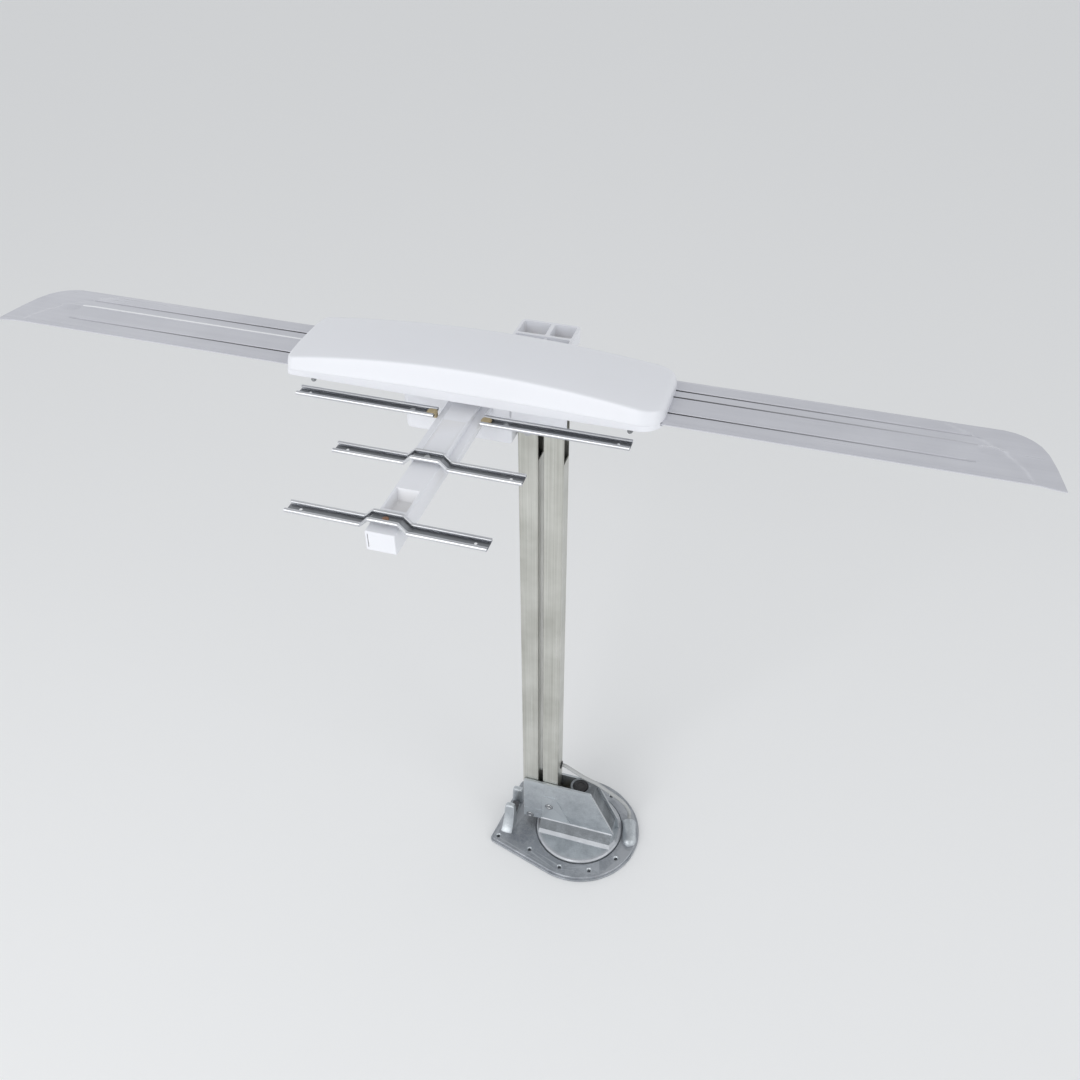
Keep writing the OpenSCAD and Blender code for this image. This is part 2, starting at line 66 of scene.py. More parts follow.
# Places that several pieces share, in millimetres
LIFT_PIN = (-46.5, 65.0)
FOLLOWER_PIN = (-78.5, 33.0)
ARM = 741.0
CHEEK_FACE = 17.0
PIN_PLACES = ((*LIFT_PIN, CHEEK_FACE + 1.2), (*FOLLOWER_PIN, CHEEK_FACE + 0.8))
HEAD_X = -138.0
SOCKET_X = -200.0
SCREW_SPOT = (190.0, 54.0)
BOLT_SPOT = (150.0, 25.0)
GROOVE_Y = (28.5, -20.5)
RIDGE_Y = 12.0
REAR_Y = -68.0
MIDDLE_Y = -163.0
FRONT_Y = -273.0
CHANNEL_Z = 815.0
HAT_Z = 824.0


def length(name, description, default):
    """A size in metres for a property group."""
    return FloatProperty(name=name, description=description, default=default, min=0.0, unit="LENGTH")


def place(name, description, default):
    """A coordinate in metres for a property group."""
    return FloatProperty(name=name, description=description, default=default, unit="LENGTH")


def number(name, description, default, subtype="NONE"):
    """An angle, a power or a plain number for a property group."""
    return FloatProperty(name=name, description=description, default=default, subtype=subtype)


def colour(name, description, default):
    """A colour for a property group."""
    return FloatVectorProperty(
        name=name, description=description, default=default, min=0.0, max=1.0, size=3, subtype="COLOR"
    )


class ANTENNA_PG_base(bpy.types.PropertyGroup):
    """Roof plate and its fittings."""

    corner: length("Corner radius", "Radius of the plate's two corners", 0.008)
    skew: length("End skew", "How far the rear corner stands back from the front corner", 0.014)
    hole_circle: length("Hole circle", "Radius of the circle of screw holes", 0.083)
    hole_radius: length("Hole radius", "Radius of a screw hole", 0.0026)
    sink_radius: length("Countersink radius", "Radius of a screw hole at the top face", 0.0043)
    pocket_radius: length("Pocket radius", "Radius of the turntable's pocket", 0.071)
    hood_radius: length("Hood radius", "Radius of the cable hood", 0.0115)
    hood_length: length("Hood length", "Straight length of the cable hood", 0.036)
    hood_x: place("Hood x", "Mouth of the cable hood, x", 0.0765)
    hood_y: place("Hood y", "Mouth of the cable hood, y", 0.0315)
    hood_turn: number("Hood turn", "Direction of the hood", math.radians(-77.0), "ANGLE")
    cast_light: colour("Light cast", "Lighter tone of the rough casting", (0.47, 0.49, 0.52))
    cast_dark: colour("Dark cast", "Darker tone of the rough casting", (0.24, 0.26, 0.29))
    rubber: colour("Rubber", "Rest pad and grommet", (0.022, 0.022, 0.024))
    jacket: colour("Coax jacket", "Jacket of the coax", (0.42, 0.43, 0.43))


class ANTENNA_PG_turntable(bpy.types.PropertyGroup):
    """Cast turntable and gear chamber."""

    wall: length("Cheek wall", "Wall thickness of the cheeks", 0.0035)
    edge: length("Edge rounding", "Rounding of the casting's edges", 0.0009)
    pin_ring: length("Pin recess", "Radius of the recess round a pivot pin", 0.0062)
    smooth_light: colour("Light casting", "Lighter tone of the smooth casting", (0.60, 0.635, 0.66))
    smooth_dark: colour("Dark casting", "Darker tone of the smooth casting", (0.40, 0.43, 0.46))
    # Machining and wear, and also a painted highlight on edges and ledges that catch the light.
    bright: colour("Worn metal", "Machined faces and worn edges", (0.56, 0.58, 0.61))
    shadow: colour("Shaded casting", "Darker tone of the inner faces", (0.20, 0.215, 0.23))
    plug: colour("Plug", "Plug over the worm", (0.018, 0.018, 0.020))
    steel: colour("Steel", "Pins, bolts and screws", (0.56, 0.57, 0.58))
    brass: colour("Brass", "Worm, gear sector and coax socket", (0.60, 0.44, 0.20))


class ANTENNA_PG_mast(bpy.types.PropertyGroup):
    """The two square tubes."""

    wall: length("Tube wall", "Wall thickness of a tube", 0.0016)
    corner: length("Tube corner", "Outside corner radius of a tube", 0.0018)
    exit_y: place("Exit y", "Coax exit in the lift tube, y", 0.005)
    exit_z: place("Exit z", "Coax exit in the lift tube, z", 0.149)
    tone_light: colour("Light mill finish", "Lighter tone of the tubes", (0.70, 0.70, 0.66))
    tone_dark: colour("Dark mill finish", "Darker tone of the tubes", (0.42, 0.42, 0.38))


class ANTENNA_PG_head(bpy.types.PropertyGroup):
    """White mouldings of the head."""

    soft_end: length("Soft end", "Corner radius of the housing's right end in plan", 0.026)
    crisp_end: length("Crisp end", "Corner radius of the housing's left end in plan", 0.008)
    crease: length("Crease radius", "Rounding between the top and the faces", 0.0035)
    crown: length("Crown", "Height of the housing's middle over its underside", 0.043)
    end_height: length("End height", "Height of the housing near its ends", 0.024)
    slope: length("Face slope", "Run of the front and back faces to the crease", 0.0105)
    wall: length("Wall", "Wall thickness of the mouldings", 0.0025)
    white: colour("White", "White moulding", (0.80, 0.81, 0.85))
    white_top: colour("Top white", "White of the crowned cover", (0.78, 0.79, 0.83))


class ANTENNA_PG_wings(bpy.types.PropertyGroup):
    """Embossed sheet wings."""

    sheet: length("Sheet", "Thickness of the sheet", 0.0012)
    relief: length("Relief", "Height of the raised panel", 0.0016)
    groove: length("Groove", "Depth of a pressed groove", 0.0019)
    groove_width: length("Groove width", "Width of a pressed groove", 0.0042)
    tone: colour("Sheet tone", "Satin sheet", (0.63, 0.635, 0.68))
    tone_dark: colour("Sheet shade", "Slightly darker patches", (0.55, 0.555, 0.60))
    shadow: colour("Groove shade", "Grooves at the wing's root", (0.03, 0.03, 0.035))
    # Painted highlight: this colour stands for light falling on the left wing's ridge.
    ridge: colour("Ridge", "Highlighted ridge", (0.93, 0.94, 0.96))


class ANTENNA_PG_booster(bpy.types.PropertyGroup):
    """Front boom and its elements."""

    sheet: length("Channel sheet", "Thickness of the channels' sheet", 0.0009)
    lip: length("Lip radius", "Outside radius of a rolled lip", 0.0024)
    rise: length("Rise", "Height of a lip's centre over the channel's underside", 0.0025)
    hole: length("Hole radius", "Radius of the hole near each end", 0.0017)
    bright: colour("Bright metal", "Rolled channels", (0.80, 0.81, 0.83))
    bright_dark: colour("Dull metal", "Duller streaks of the channels", (0.50, 0.51, 0.54))
    trough: colour("Trough", "Dull floor of the channels", (0.30, 0.31, 0.33))
    # Painted shade: the channels' floor is painted darker, standing for the dark overhead that it reflects.
    tan: colour("Insulator", "Insulator blocks", (0.42, 0.34, 0.20))
    copper: colour("Rivet", "Rivets", (0.46, 0.27, 0.19))


class ANTENNA_PG_stage(bpy.types.PropertyGroup):
    """Camera, lamps and floor."""

    camera_x: place("Camera x", "Place of the camera, x", 0.233248)
    camera_y: place("Camera y", "Place of the camera, y", -0.990310)
    camera_z: place("Camera z", "Place of the camera, z", 1.452989)
    azimuth: number("Azimuth", "Turn of the view", 0.2945, "ANGLE")
    look_down: number("Look down", "Tilt of the view", 0.6888, "ANGLE")
    lens: number("Lens", "Focal length in millimetres", 34.545)
    floor: colour("Floor", "Pale floor", (0.90, 0.905, 0.91))
    horizon: number("Horizon", "Brightness of the world at the horizon", 1.08)
    zenith: number("Zenith", "Brightness of the world overhead", 0.56)
    key: number("Key", "Power of the front lamp", 27.0, "POWER")
    fill: number("Fill", "Power of the side lamp", 10.0, "POWER")


# Shared geometry


def tint(colour_value, share=1.0):
    """A colour of a property group, dimmed to a share of it."""
    return tuple(share * c for c in colour_value)


def mm(value):
    """A property's metres in millimetres."""
    return value / MM


def node_box(name):
    """Low and high corner of a CAD node in millimetres."""
    low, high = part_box(name)
    return Vector(low) / MM, Vector(high) / MM


def arc(cx, cy, radius, start, end, steps):
    """Points of an arc in a plane."""
    turns = [start + (end - start) * i / steps for i in range(steps + 1)]
    return [(cx + radius * math.cos(t), cy + radius * math.sin(t)) for t in turns]


def rounded(points, radius, steps=4):
    """Outline with every corner rounded by radius, or by one radius for each corner."""
    count = len(points)
    radii = radius if isinstance(radius, (list, tuple)) else [radius] * count
    outline = []
    for i, point in enumerate(points):
        corner = Vector(point)
        before = Vector(points[i - 1]) - corner
        after = Vector(points[(i + 1) % count]) - corner
        if radii[i] <= 0.0:
            outline.append(tuple(corner))
            continue
        half = before.angle(after) / 2
        reach = min(radii[i] / math.tan(half), 0.48 * before.length, 0.48 * after.length)
        first = corner + before.normalized() * reach
        last = corner + after.normalized() * reach
        middle = corner + (before.normalized() + after.normalized()).normalized() * reach / math.cos(half)
        for k in range(steps + 1):
            blend = first.lerp(last, k / steps) - middle
            outline.append(tuple(middle + blend.normalized() * (first - middle).length))
    return outline


def lay_point(axis, a, b, height):
    """A point of an outline drawn across axis, at height along it."""
    if axis == "X":
        return Vector((height, a, b))
    if axis == "Y":
        return Vector((a, height, b))
    return Vector((a, b, height))


def loft(bm, rings, closed=True):
    """Skin through rings of equal length, with flat ends."""
    rows = [[bm.verts.new(p) for p in ring] for ring in rings]
    count = len(rows[0])
    for low, high in zip(rows, rows[1:]):
        for k in range(count):
            n = (k + 1) % count
            bm.faces.new((low[k], low[n], high[n], high[k]))
    if closed:
        bm.faces.new(list(reversed(rows[0])))
        bm.faces.new(rows[-1])
    return rows


def prism(bm, outline, low, high, axis="Z"):
    """Solid of an outline from low to high along axis."""
    loft(bm, [[lay_point(axis, a, b, h) for a, b in outline] for h in (low, high)])


def stack(bm, levels, axis="Z"):
    """Solid through outlines of equal length, each at its own height."""
    loft(bm, [[lay_point(axis, a, b, h) for a, b in outline] for outline, h in levels])


def block(bm, low, high):
    """Box from one corner to the other."""
    outline = [(low[0], low[1]), (high[0], low[1]), (high[0], high[1]), (low[0], high[1])]
    prism(bm, outline, low[2], high[2])


def turned(bm, profile, centre=(0, 0, 0), direction=(0, 0, 1), steps=48):
    """Solid turned from a profile of radius and height about a direction."""
    spin = Vector((0, 0, 1)).rotation_difference(Vector(direction)).to_matrix()
    rings = []
    for radius, height in profile:
        circle = arc(0, 0, max(radius, 0.01), 0, 2 * math.pi * (steps - 1) / steps, steps - 1)
        rings.append([spin @ Vector((x, y, height)) + Vector(centre) for x, y in circle])
    loft(bm, rings)


def make_object(name, bm, materials=(), edge=0.0, angle=35.0):
    """Object in metres from a mesh in millimetres, with rounded sharp edges."""
    bmesh.ops.recalc_face_normals(bm, faces=bm.faces)
    bmesh.ops.scale(bm, vec=(MM, MM, MM), verts=bm.verts)
    mesh = bpy.data.meshes.new(name)
    bm.to_mesh(mesh)
    bm.free()
    for material in materials:
        mesh.materials.append(material)
    obj = bpy.data.objects.new(name, mesh)
    bpy.context.scene.collection.objects.link(obj)
    if edge:
        round_edges(obj, edge, angle)
    return obj


def round_edges(obj, width, angle=35.0, segments=2, slot=-1):
    """Rounds every edge sharper than angle by a width in millimetres, in the material of a slot."""
    modifier = obj.modifiers.new("round", "BEVEL")
    modifier.width = width * MM
    modifier.segments = segments
    modifier.limit_method = "ANGLE"
    modifier.angle_limit = math.radians(angle)
    modifier.miter_outer = "MITER_ARC"
    modifier.use_clamp_overlap = True
    modifier.material = slot


def settle(obj):
    """Turns the object's modifiers into mesh."""
    depsgraph = bpy.context.evaluated_depsgraph_get()
    mesh = bpy.data.meshes.new_from_object(obj.evaluated_get(depsgraph))
    obj.modifiers.clear()
    obj.data = mesh


def combine(obj, bm, operation="DIFFERENCE"):
    """Cuts or joins a mesh in millimetres with the object."""
    tool = make_object("tool", bm)
    modifier = obj.modifiers.new("combine", "BOOLEAN")
    modifier.operation = operation
    modifier.solver = "EXACT"
    modifier.use_self = operation == "UNION"
    modifier.object = tool
    settle(obj)
    bpy.data.objects.remove(tool)


def shade(obj, angle=32.0):
    """Settles the object and shades it smooth up to an angle."""
    settle(obj)
    obj.data.shade_smooth()
    obj.data.set_sharp_from_angle(angle=math.radians(angle))
    modifier = obj.modifiers.new("normals", "WEIGHTED_NORMAL")
    modifier.keep_sharp = True
    settle(obj)


def paint(obj, slot, test):
    """Gives a material slot to the faces whose middle in millimetres and normal pass a test."""
    for face in obj.data.polygons:
        if test(face.center / MM, face.normal):
            face.material_index = slot


def hand_over(obj, body, nodes):
    """Tells the frame which body and CAD nodes the piece stands for."""
    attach(obj, body)
    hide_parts(*nodes)


def dress(node, material):
    """Puts a material on a CAD node that is shown as it is."""
    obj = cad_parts[node]
    if not obj.material_slots:
        obj.data.materials.append(material)
    for slot in obj.material_slots:
        slot.material = material


# Shared shader groups


def start_group(name, inputs, outputs):
    """New shader node group with its sockets, and its input and output nodes."""
    tree = bpy.data.node_groups.new(name, "ShaderNodeTree")
    for label, kind, default in inputs:
        socket = tree.interface.new_socket(label, in_out="INPUT", socket_type=kind)
        if default is not None:
            socket.default_value = default
    for label, kind in outputs:
        tree.interface.new_socket(label, in_out="OUTPUT", socket_type=kind)
    return tree, tree.nodes.new("NodeGroupInput"), tree.nodes.new("NodeGroupOutput")


def noise(tree, vector, scale, detail=4.0, rough=0.55):
    """Noise texture node fed by a vector socket."""
    node = tree.nodes.new("ShaderNodeTexNoise")
    node.inputs["Scale"].default_value = scale
    node.inputs["Detail"].default_value = detail
    node.inputs["Roughness"].default_value = rough
    tree.links.new(vector, node.inputs["Vector"])
    return node


def remap(tree, value, low, high, to_low=0.0, to_high=1.0):
    """Maps a value from one range to another and keeps it inside."""
    node = tree.nodes.new("ShaderNodeMapRange")
    node.inputs["From Min"].default_value = low
    node.inputs["From Max"].default_value = high
    node.inputs["To Min"].default_value = to_low
    node.inputs["To Max"].default_value = to_high
    tree.links.new(value, node.inputs["Value"])
    return node.outputs["Result"]


def mix_colours(tree, factor, first, second):
    """Mixes two colour sockets."""
    node = tree.nodes.new("ShaderNodeMix")
    node.data_type = "RGBA"
    tree.links.new(factor, node.inputs[0])
    tree.links.new(first, node.inputs[6])
    tree.links.new(second, node.inputs[7])
    return node.outputs[2]


def math_node(tree, operation, first, second):
    """Math node on sockets or numbers."""
    node = tree.nodes.new("ShaderNodeMath")
    node.operation = operation
    for i, item in enumerate((first, second)):
        if isinstance(item, (int, float)):
            node.inputs[i].default_value = item
        else:
            tree.links.new(item, node.inputs[i])
    return node.outputs[0]


def add(tree, first, second):
    """Sum of two sockets or numbers."""
    return math_node(tree, "ADD", first, second)


def times(tree, first, second):
    """Product of two sockets or numbers."""
    return math_node(tree, "MULTIPLY", first, second)


def surface_group(name, inputs):
    """New group that puts out a colour, a roughness and a height."""
    return start_group(
        name,
        [("Vector", "NodeSocketVector", None)] + inputs,
        [("Color", "NodeSocketColor"), ("Roughness", "NodeSocketFloat"), ("Height", "NodeSocketFloat")],
    )


def cast_group():
    """Sand-cast metal: cloudy tones, fine grain and small pits."""
    tree, source, result = surface_group(
        "cast surface",
        [("Light", "NodeSocketColor", (0.6, 0.6, 0.6, 1)), ("Dark", "NodeSocketColor", (0.3, 0.3, 0.3, 1))],
    )
    vector = source.outputs["Vector"]
    clouds = remap(tree, noise(tree, vector, 34.0, 5.0, 0.62).outputs["Fac"], 0.36, 0.64)
    specks = remap(tree, noise(tree, vector, 420.0, 3.0, 0.7).outputs["Fac"], 0.42, 0.66)
    pits = tree.nodes.new("ShaderNodeTexVoronoi")
    pits.inputs["Scale"].default_value = 260.0
    tree.links.new(vector, pits.inputs["Vector"])
    pit = remap(tree, pits.outputs["Distance"], 0.0, 0.34)
    # Edges are lightened by pointiness: partly wear on the casting, partly a painted highlight where bevelled
    # edges catch the light.
    geometry = tree.nodes.new("ShaderNodeNewGeometry")
    rim = remap(tree, geometry.outputs["Pointiness"], 0.50, 0.56)
    tone = times(tree, add(tree, clouds, times(tree, specks, 0.45)), 0.7)
    tone = math_node(tree, "MAXIMUM", tone, times(tree, rim, 0.9))
    base = mix_colours(tree, tone, source.outputs["Dark"], source.outputs["Light"])
    tree.links.new(base, result.inputs["Color"])
    tree.links.new(remap(tree, clouds, 0.0, 1.0, 0.56, 0.40), result.inputs["Roughness"])
    grain = noise(tree, vector, 900.0, 2.0, 0.6).outputs["Fac"]
    height = add(tree, times(tree, grain, 0.35), times(tree, pit, 0.3))
    height = add(tree, height, times(tree, clouds, 0.9))
    tree.links.new(height, result.inputs["Height"])
    return tree


def streak_group():
    """Drawn or rolled metal: long streaks along one direction and soft stains."""
    tree, source, result = surface_group(
        "drawn streaks",
        [("Stretch", "NodeSocketVector", (1, 1, 1)), ("Light", "NodeSocketColor", (0.7, 0.7, 0.7, 1)),
         ("Dark", "NodeSocketColor", (0.4, 0.4, 0.4, 1))],
    )
    scaled = tree.nodes.new("ShaderNodeVectorMath")
    scaled.operation = "MULTIPLY"
    tree.links.new(source.outputs["Vector"], scaled.inputs[0])
    tree.links.new(source.outputs["Stretch"], scaled.inputs[1])
    streaks = noise(tree, scaled.outputs[0], 1.0, 5.0, 0.7).outputs["Fac"]
    stains = remap(tree, noise(tree, source.outputs["Vector"], 9.0, 4.0, 0.6).outputs["Fac"], 0.38, 0.62)
    tone = add(tree, remap(tree, streaks, 0.30, 0.70, 0.0, 0.55), times(tree, stains, 0.45))
    base = mix_colours(tree, tone, source.outputs["Dark"], source.outputs["Light"])
    tree.links.new(base, result.inputs["Color"])
    tree.links.new(remap(tree, streaks, 0.3, 0.7, 0.42, 0.26), result.inputs["Roughness"])
    tree.links.new(streaks, result.inputs["Height"])
    return tree


def moulded_group():
    """Moulded plastic: faint waviness, fine grain, a slight dusty tint in soft patches, and painted shade in
    the hollows.
    """
    tree, source, result = surface_group(
        "moulded skin",
        [("Tone", "NodeSocketColor", (0.8, 0.8, 0.8, 1)), ("Dust and shade", "NodeSocketColor", (0.7, 0.69, 0.66, 1))],
    )
    vector = source.outputs["Vector"]
    patches = remap(tree, noise(tree, vector, 14.0, 4.0, 0.6).outputs["Fac"], 0.50, 0.80, 0.0, 0.12)
    geometry = tree.nodes.new("ShaderNodeNewGeometry")
    # Painted shade: hollows are tinted towards the dusty tone, standing for the shade that falls in them.
    hollow_shade = remap(tree, geometry.outputs["Pointiness"], 0.49, 0.42, 0.0, 0.5)
    base = mix_colours(tree, add(tree, patches, hollow_shade), source.outputs["Tone"], source.outputs["Dust and shade"])
    tree.links.new(base, result.inputs["Color"])
    grain = noise(tree, vector, 1400.0, 2.0, 0.6).outputs["Fac"]
    tree.links.new(remap(tree, grain, 0.3, 0.7, 0.36, 0.46), result.inputs["Roughness"])
    tree.links.new(grain, result.inputs["Height"])
    return tree


def shared_group(name):
    """The shader group of that name, built on first use."""
    makers = {"cast surface": cast_group, "drawn streaks": streak_group, "moulded skin": moulded_group}
    return bpy.data.node_groups.get(name) or makers[name]()


def start_material(name):
    """New material with its tree, shader and object coordinates."""
    material = bpy.data.materials.new(name)
    material.use_nodes = True
    tree = material.node_tree
    shader = tree.nodes["Principled BSDF"]
    place_node = tree.nodes.new("ShaderNodeTexCoord")
    return material, tree, shader, place_node.outputs["Object"]


def use_group(tree, group_name, shader, vector, values, bump):
    """Links a shared group's colour, roughness and bump to a shader."""
    group = tree.nodes.new("ShaderNodeGroup")
    group.node_tree = shared_group(group_name)
    tree.links.new(vector, group.inputs["Vector"])
    for label, value in values.items():
        group.inputs[label].default_value = value if label == "Stretch" else (*value, 1.0)
    tree.links.new(group.outputs["Color"], shader.inputs["Base Color"])
    tree.links.new(group.outputs["Roughness"], shader.inputs["Roughness"])
    lift = tree.nodes.new("ShaderNodeBump")
    lift.inputs["Strength"].default_value = 1.0
    lift.inputs["Distance"].default_value = bump
    tree.links.new(group.outputs["Height"], lift.inputs["Height"])
    tree.links.new(lift.outputs["Normal"], shader.inputs["Normal"])


def surface(name, group_name, values, bump, sockets):
    """Material on a shared group with constants on the shader's sockets, built on first use."""
    known = bpy.data.materials.get(name)
    if known:
        return known
    material, tree, shader, vector = start_material(name)
    for label, value in sockets.items():
        shader.inputs[label].default_value = value
    use_group(tree, group_name, shader, vector, values, bump)
    return material


def cast_metal(name, light, dark, metallic, bump):
    """Cast aluminium."""
    return surface(name, "cast surface", {"Light": light, "Dark": dark}, bump, {"Metallic": metallic})


def streaked_metal(name, light, dark, stretch, metallic=1.0, bump=0.00002):
    """Drawn, rolled or plated metal with streaks; stretch scales the noise along X, Y and Z."""
    values = {"Light": light, "Dark": dark, "Stretch": stretch}
    return surface(name, "drawn streaks", values, bump, {"Metallic": metallic})


def moulding(name, tone, dust_and_shade=(0.66, 0.65, 0.62), coat=0.0, bump=0.000008):
    """Moulded plastic or rubber."""
    sockets = {"Metallic": 0.0, "Coat Weight": coat, "Coat Roughness": 0.25}
    return surface(name, "moulded skin", {"Tone": tone, "Dust and shade": dust_and_shade}, bump, sockets)


def steel_material():
    """Zinc-plated steel."""
    s = bpy.context.scene.antenna_turntable
    return streaked_metal("zinc steel", tint(s.steel), tint(s.steel, 0.7), (300.0, 300.0, 300.0))


def brass_material():
    """Plain brass."""
    s = bpy.context.scene.antenna_turntable
    return streaked_metal("brass", tint(s.brass), tint(s.brass, 0.6), (200.0, 200.0, 200.0))


def smooth_casting():
    """Smoother cast aluminium of the turntable, the horns and the hood."""
    s = bpy.context.scene.antenna_turntable
    return cast_metal("smooth casting", tint(s.smooth_light), tint(s.smooth_dark), 0.8, 0.00035)


def rubber_material():
    """Black rubber."""
    s = bpy.context.scene.antenna_base
    return moulding("black rubber", tint(s.rubber), (0.06, 0.06, 0.06))


def white_material():
    """White moulded plastic."""
    s = bpy.context.scene.antenna_head
    # The beige third tone gives the dusty tint and the painted shade in the hollows.
    return moulding("white moulding", tint(s.white), (0.62, 0.58, 0.52), coat=0.25)


# Base


def plate_outline(s, inset):
    """Outline of the roof plate, set in from its edge."""
    low, high = node_box("base_plate")
    big = high.x - inset
    small = mm(s.corner) - inset
    front = low.x + mm(s.corner)
    rear = front + mm(s.skew)
    cy = 65.0 - mm(s.corner)
    end = math.pi - math.atan2(mm(s.skew), 2 * cy)
    touch = [math.atan2(cy, x) - math.acos((big - small) / math.hypot(x, cy)) for x in (front, rear)]
    return (
        arc(0, 0, big, -touch[0], touch[1], 96)
        + arc(rear, cy, small, touch[1], end, 8)
        + arc(front, -cy, small, end, 2 * math.pi - touch[0], 8)
    )


def roof_holes(s):
    """Places of the roof screw holes."""
    angles = [math.radians(a) for a in (-97, -64, -30, 64, 97)]
    ring = [(mm(s.hole_circle) * math.cos(a), mm(s.hole_circle) * math.sin(a)) for a in angles]
    return ring + [(-65, -65), (-65, 65), (-121, -55), (-107, 55)]


def horn_shape(bm, side, x, top, foot):
    """Cast horn that guides the lowered mast, wider and thicker towards its foot."""
    tip = arc(side * 21, top - 5.4, 5.4, math.radians(90 - side * 70), math.radians(90 + side * 50), 8)
    outline = [(side * foot, 6), (side * (foot - 2), 8.6), (side * (foot - 9), 14.5), (side * 29.5, top - 19)]
    outline += tip + [(side * 16, top - 8), (side * 16, 6)]
    centre = Vector((side * 25, 20))
    rings = []
    for along, shrink in ((-7.5, 0.88), (-6.2, 0.96), (-3.5, 1.0), (3.5, 1.0), (6.2, 0.96), (7.5, 0.88)):
        row = [centre + (Vector(p) - centre) * shrink for p in outline]
        spread = [1.0 + 0.22 * (top - max(p.y, 6.0)) / top for p in row]
        rings.append([Vector((x + along * k, p.x, max(p.y, 6.0))) for p, k in zip(row, spread)])
    loft(bm, rings)


def hood_shape(s, bm):
    """Low rounded hood over the coax entry."""
    radius = mm(s.hood_radius)
    straight = mm(s.hood_length)
    spin = Matrix.Rotation(s.hood_turn, 3, "Z")
    base = Vector((mm(s.hood_x), mm(s.hood_y), 7.0))
    spans = [(0.0, radius - 0.8), (0.8, radius)] + [(straight * k / 4, radius) for k in range(1, 5)]
    turns = (0.3, 0.6, 0.9, 1.15, 1.35, 1.5)
    spans += [(straight + radius * math.sin(t), radius * math.cos(t)) for t in turns]
    rings = []
    for reach, size in spans:
        half = arc(0, 0, size, 0, math.pi, 16)
        rings.append([spin @ Vector((reach, a, b)) + base for a, b in half])
    loft(bm, rings)


def build_base(context):
    """Roof plate with its horns, hood and screw holes."""
    s = context.scene.antenna_base
    bm = bmesh.new()
    levels = [(0.6, 0.0), (0.0, 0.5), (0.0, 2.9), (0.5, 3.5), (1.7, 3.7), (2.0, 4.2), (2.2, 7.2), (3.0, 8.0)]
    stack(bm, [(plate_outline(s, inset), z) for inset, z in levels])
    cast = cast_metal("rough casting", tint(s.cast_light), tint(s.cast_dark), 0.75, 0.0006)
    plate = make_object("roof_plate", bm, [cast, smooth_casting()])
    bm = bmesh.new()
    horn_shape(bm, -1, -111.0, 52.0, 48.0)
    horn_shape(bm, 1, -111.5, 41.0, 40.0)
    hood_shape(s, bm)
    block(bm, (-117, -11, 6), (-105, 11, 12))
    combine(plate, bm, "UNION")
    bm = bmesh.new()
    pocket = mm(s.pocket_radius)
    profile = [(0, -1), (24, -1), (24, 3), (14, 3), (14, 4.4), (55.8, 4.4), (55.8, 3.2), (67.7, 3.2),
               (67.7, 4.4), (pocket, 4.4), (pocket, 7.4), (pocket + 0.8, 8.2), (pocket + 0.8, 20), (0, 20)]
    turned(bm, profile, steps=128)
    combine(plate, bm)
    bm = bmesh.new()
    hole = mm(s.hole_radius)
    sink = mm(s.sink_radius)
    for x, y in roof_holes(s):
        turned(bm, [(0, -1), (hole, -1), (hole, 6.4), (sink, 8.01), (sink, 12), (0, 12)], (x, y, 0), steps=32)
    spin = Matrix.Rotation(s.hood_turn, 3, "Z")
    mouth = Vector((mm(s.hood_x), mm(s.hood_y), 12.4))
    profile = [(0, -3), (5.2, -3), (5.2, -0.01), (4.2, 1.2), (4.2, 29), (0, 29)]
    turned(bm, profile, mouth, spin @ Vector((1, 0, 0)))
    combine(plate, bm)
    round_edges(plate, 0.35, 40.0, 2)
    shade(plate, 28)
    paint(plate, 1, lambda c, n: c.z > 8.6 and (c.x < -100 or c.x > 60))
    # Painted highlight: the rim of each countersink is painted in the lighter smooth casting, standing for
    # the glints on it.
    glint_rims = [Vector((x, y)) for x, y in roof_holes(s)]
    paint(plate, 1, lambda c, n: (c.z > 6.3 and n.z > 0.2
                                  and min((c.xy - rim).length for rim in glint_rims) < sink + 0.4))
    hand_over(plate, "base", ["base_plate", "travel_horns"])
    low, high = node_box("rest_pad")
    bm = bmesh.new()
    outline = rounded([(low.x, low.y), (high.x, low.y), (high.x, high.y), (low.x, high.y)], 1.6)
    stack(bm, [(outline, low.z), (outline, high.z)])
    rubber = moulding("grey rubber", (0.10, 0.10, 0.11), (0.16, 0.16, 0.16))
    pad = make_object("rest_pad_block", bm, [rubber], 0.8, 50.0)
    shade(pad)
    hand_over(pad, "base", ["rest_pad"])
    dress("bearing_ring", rubber_material())


# Turntable


def cheek_outline(top):
    """Side view of a cheek up to its top edge, in x and z."""
    shoulder = 60 - (top - 33) * 40 / 86.5
    points = [(-89, top), (-89, 28), (-60, 28), (-60, 11), (60, 11), (60, 33), (shoulder, top)]
    return rounded(points, [5.0, 1.5, 2.0, 0.0, 0.0, 1.5, 2.5], 5)


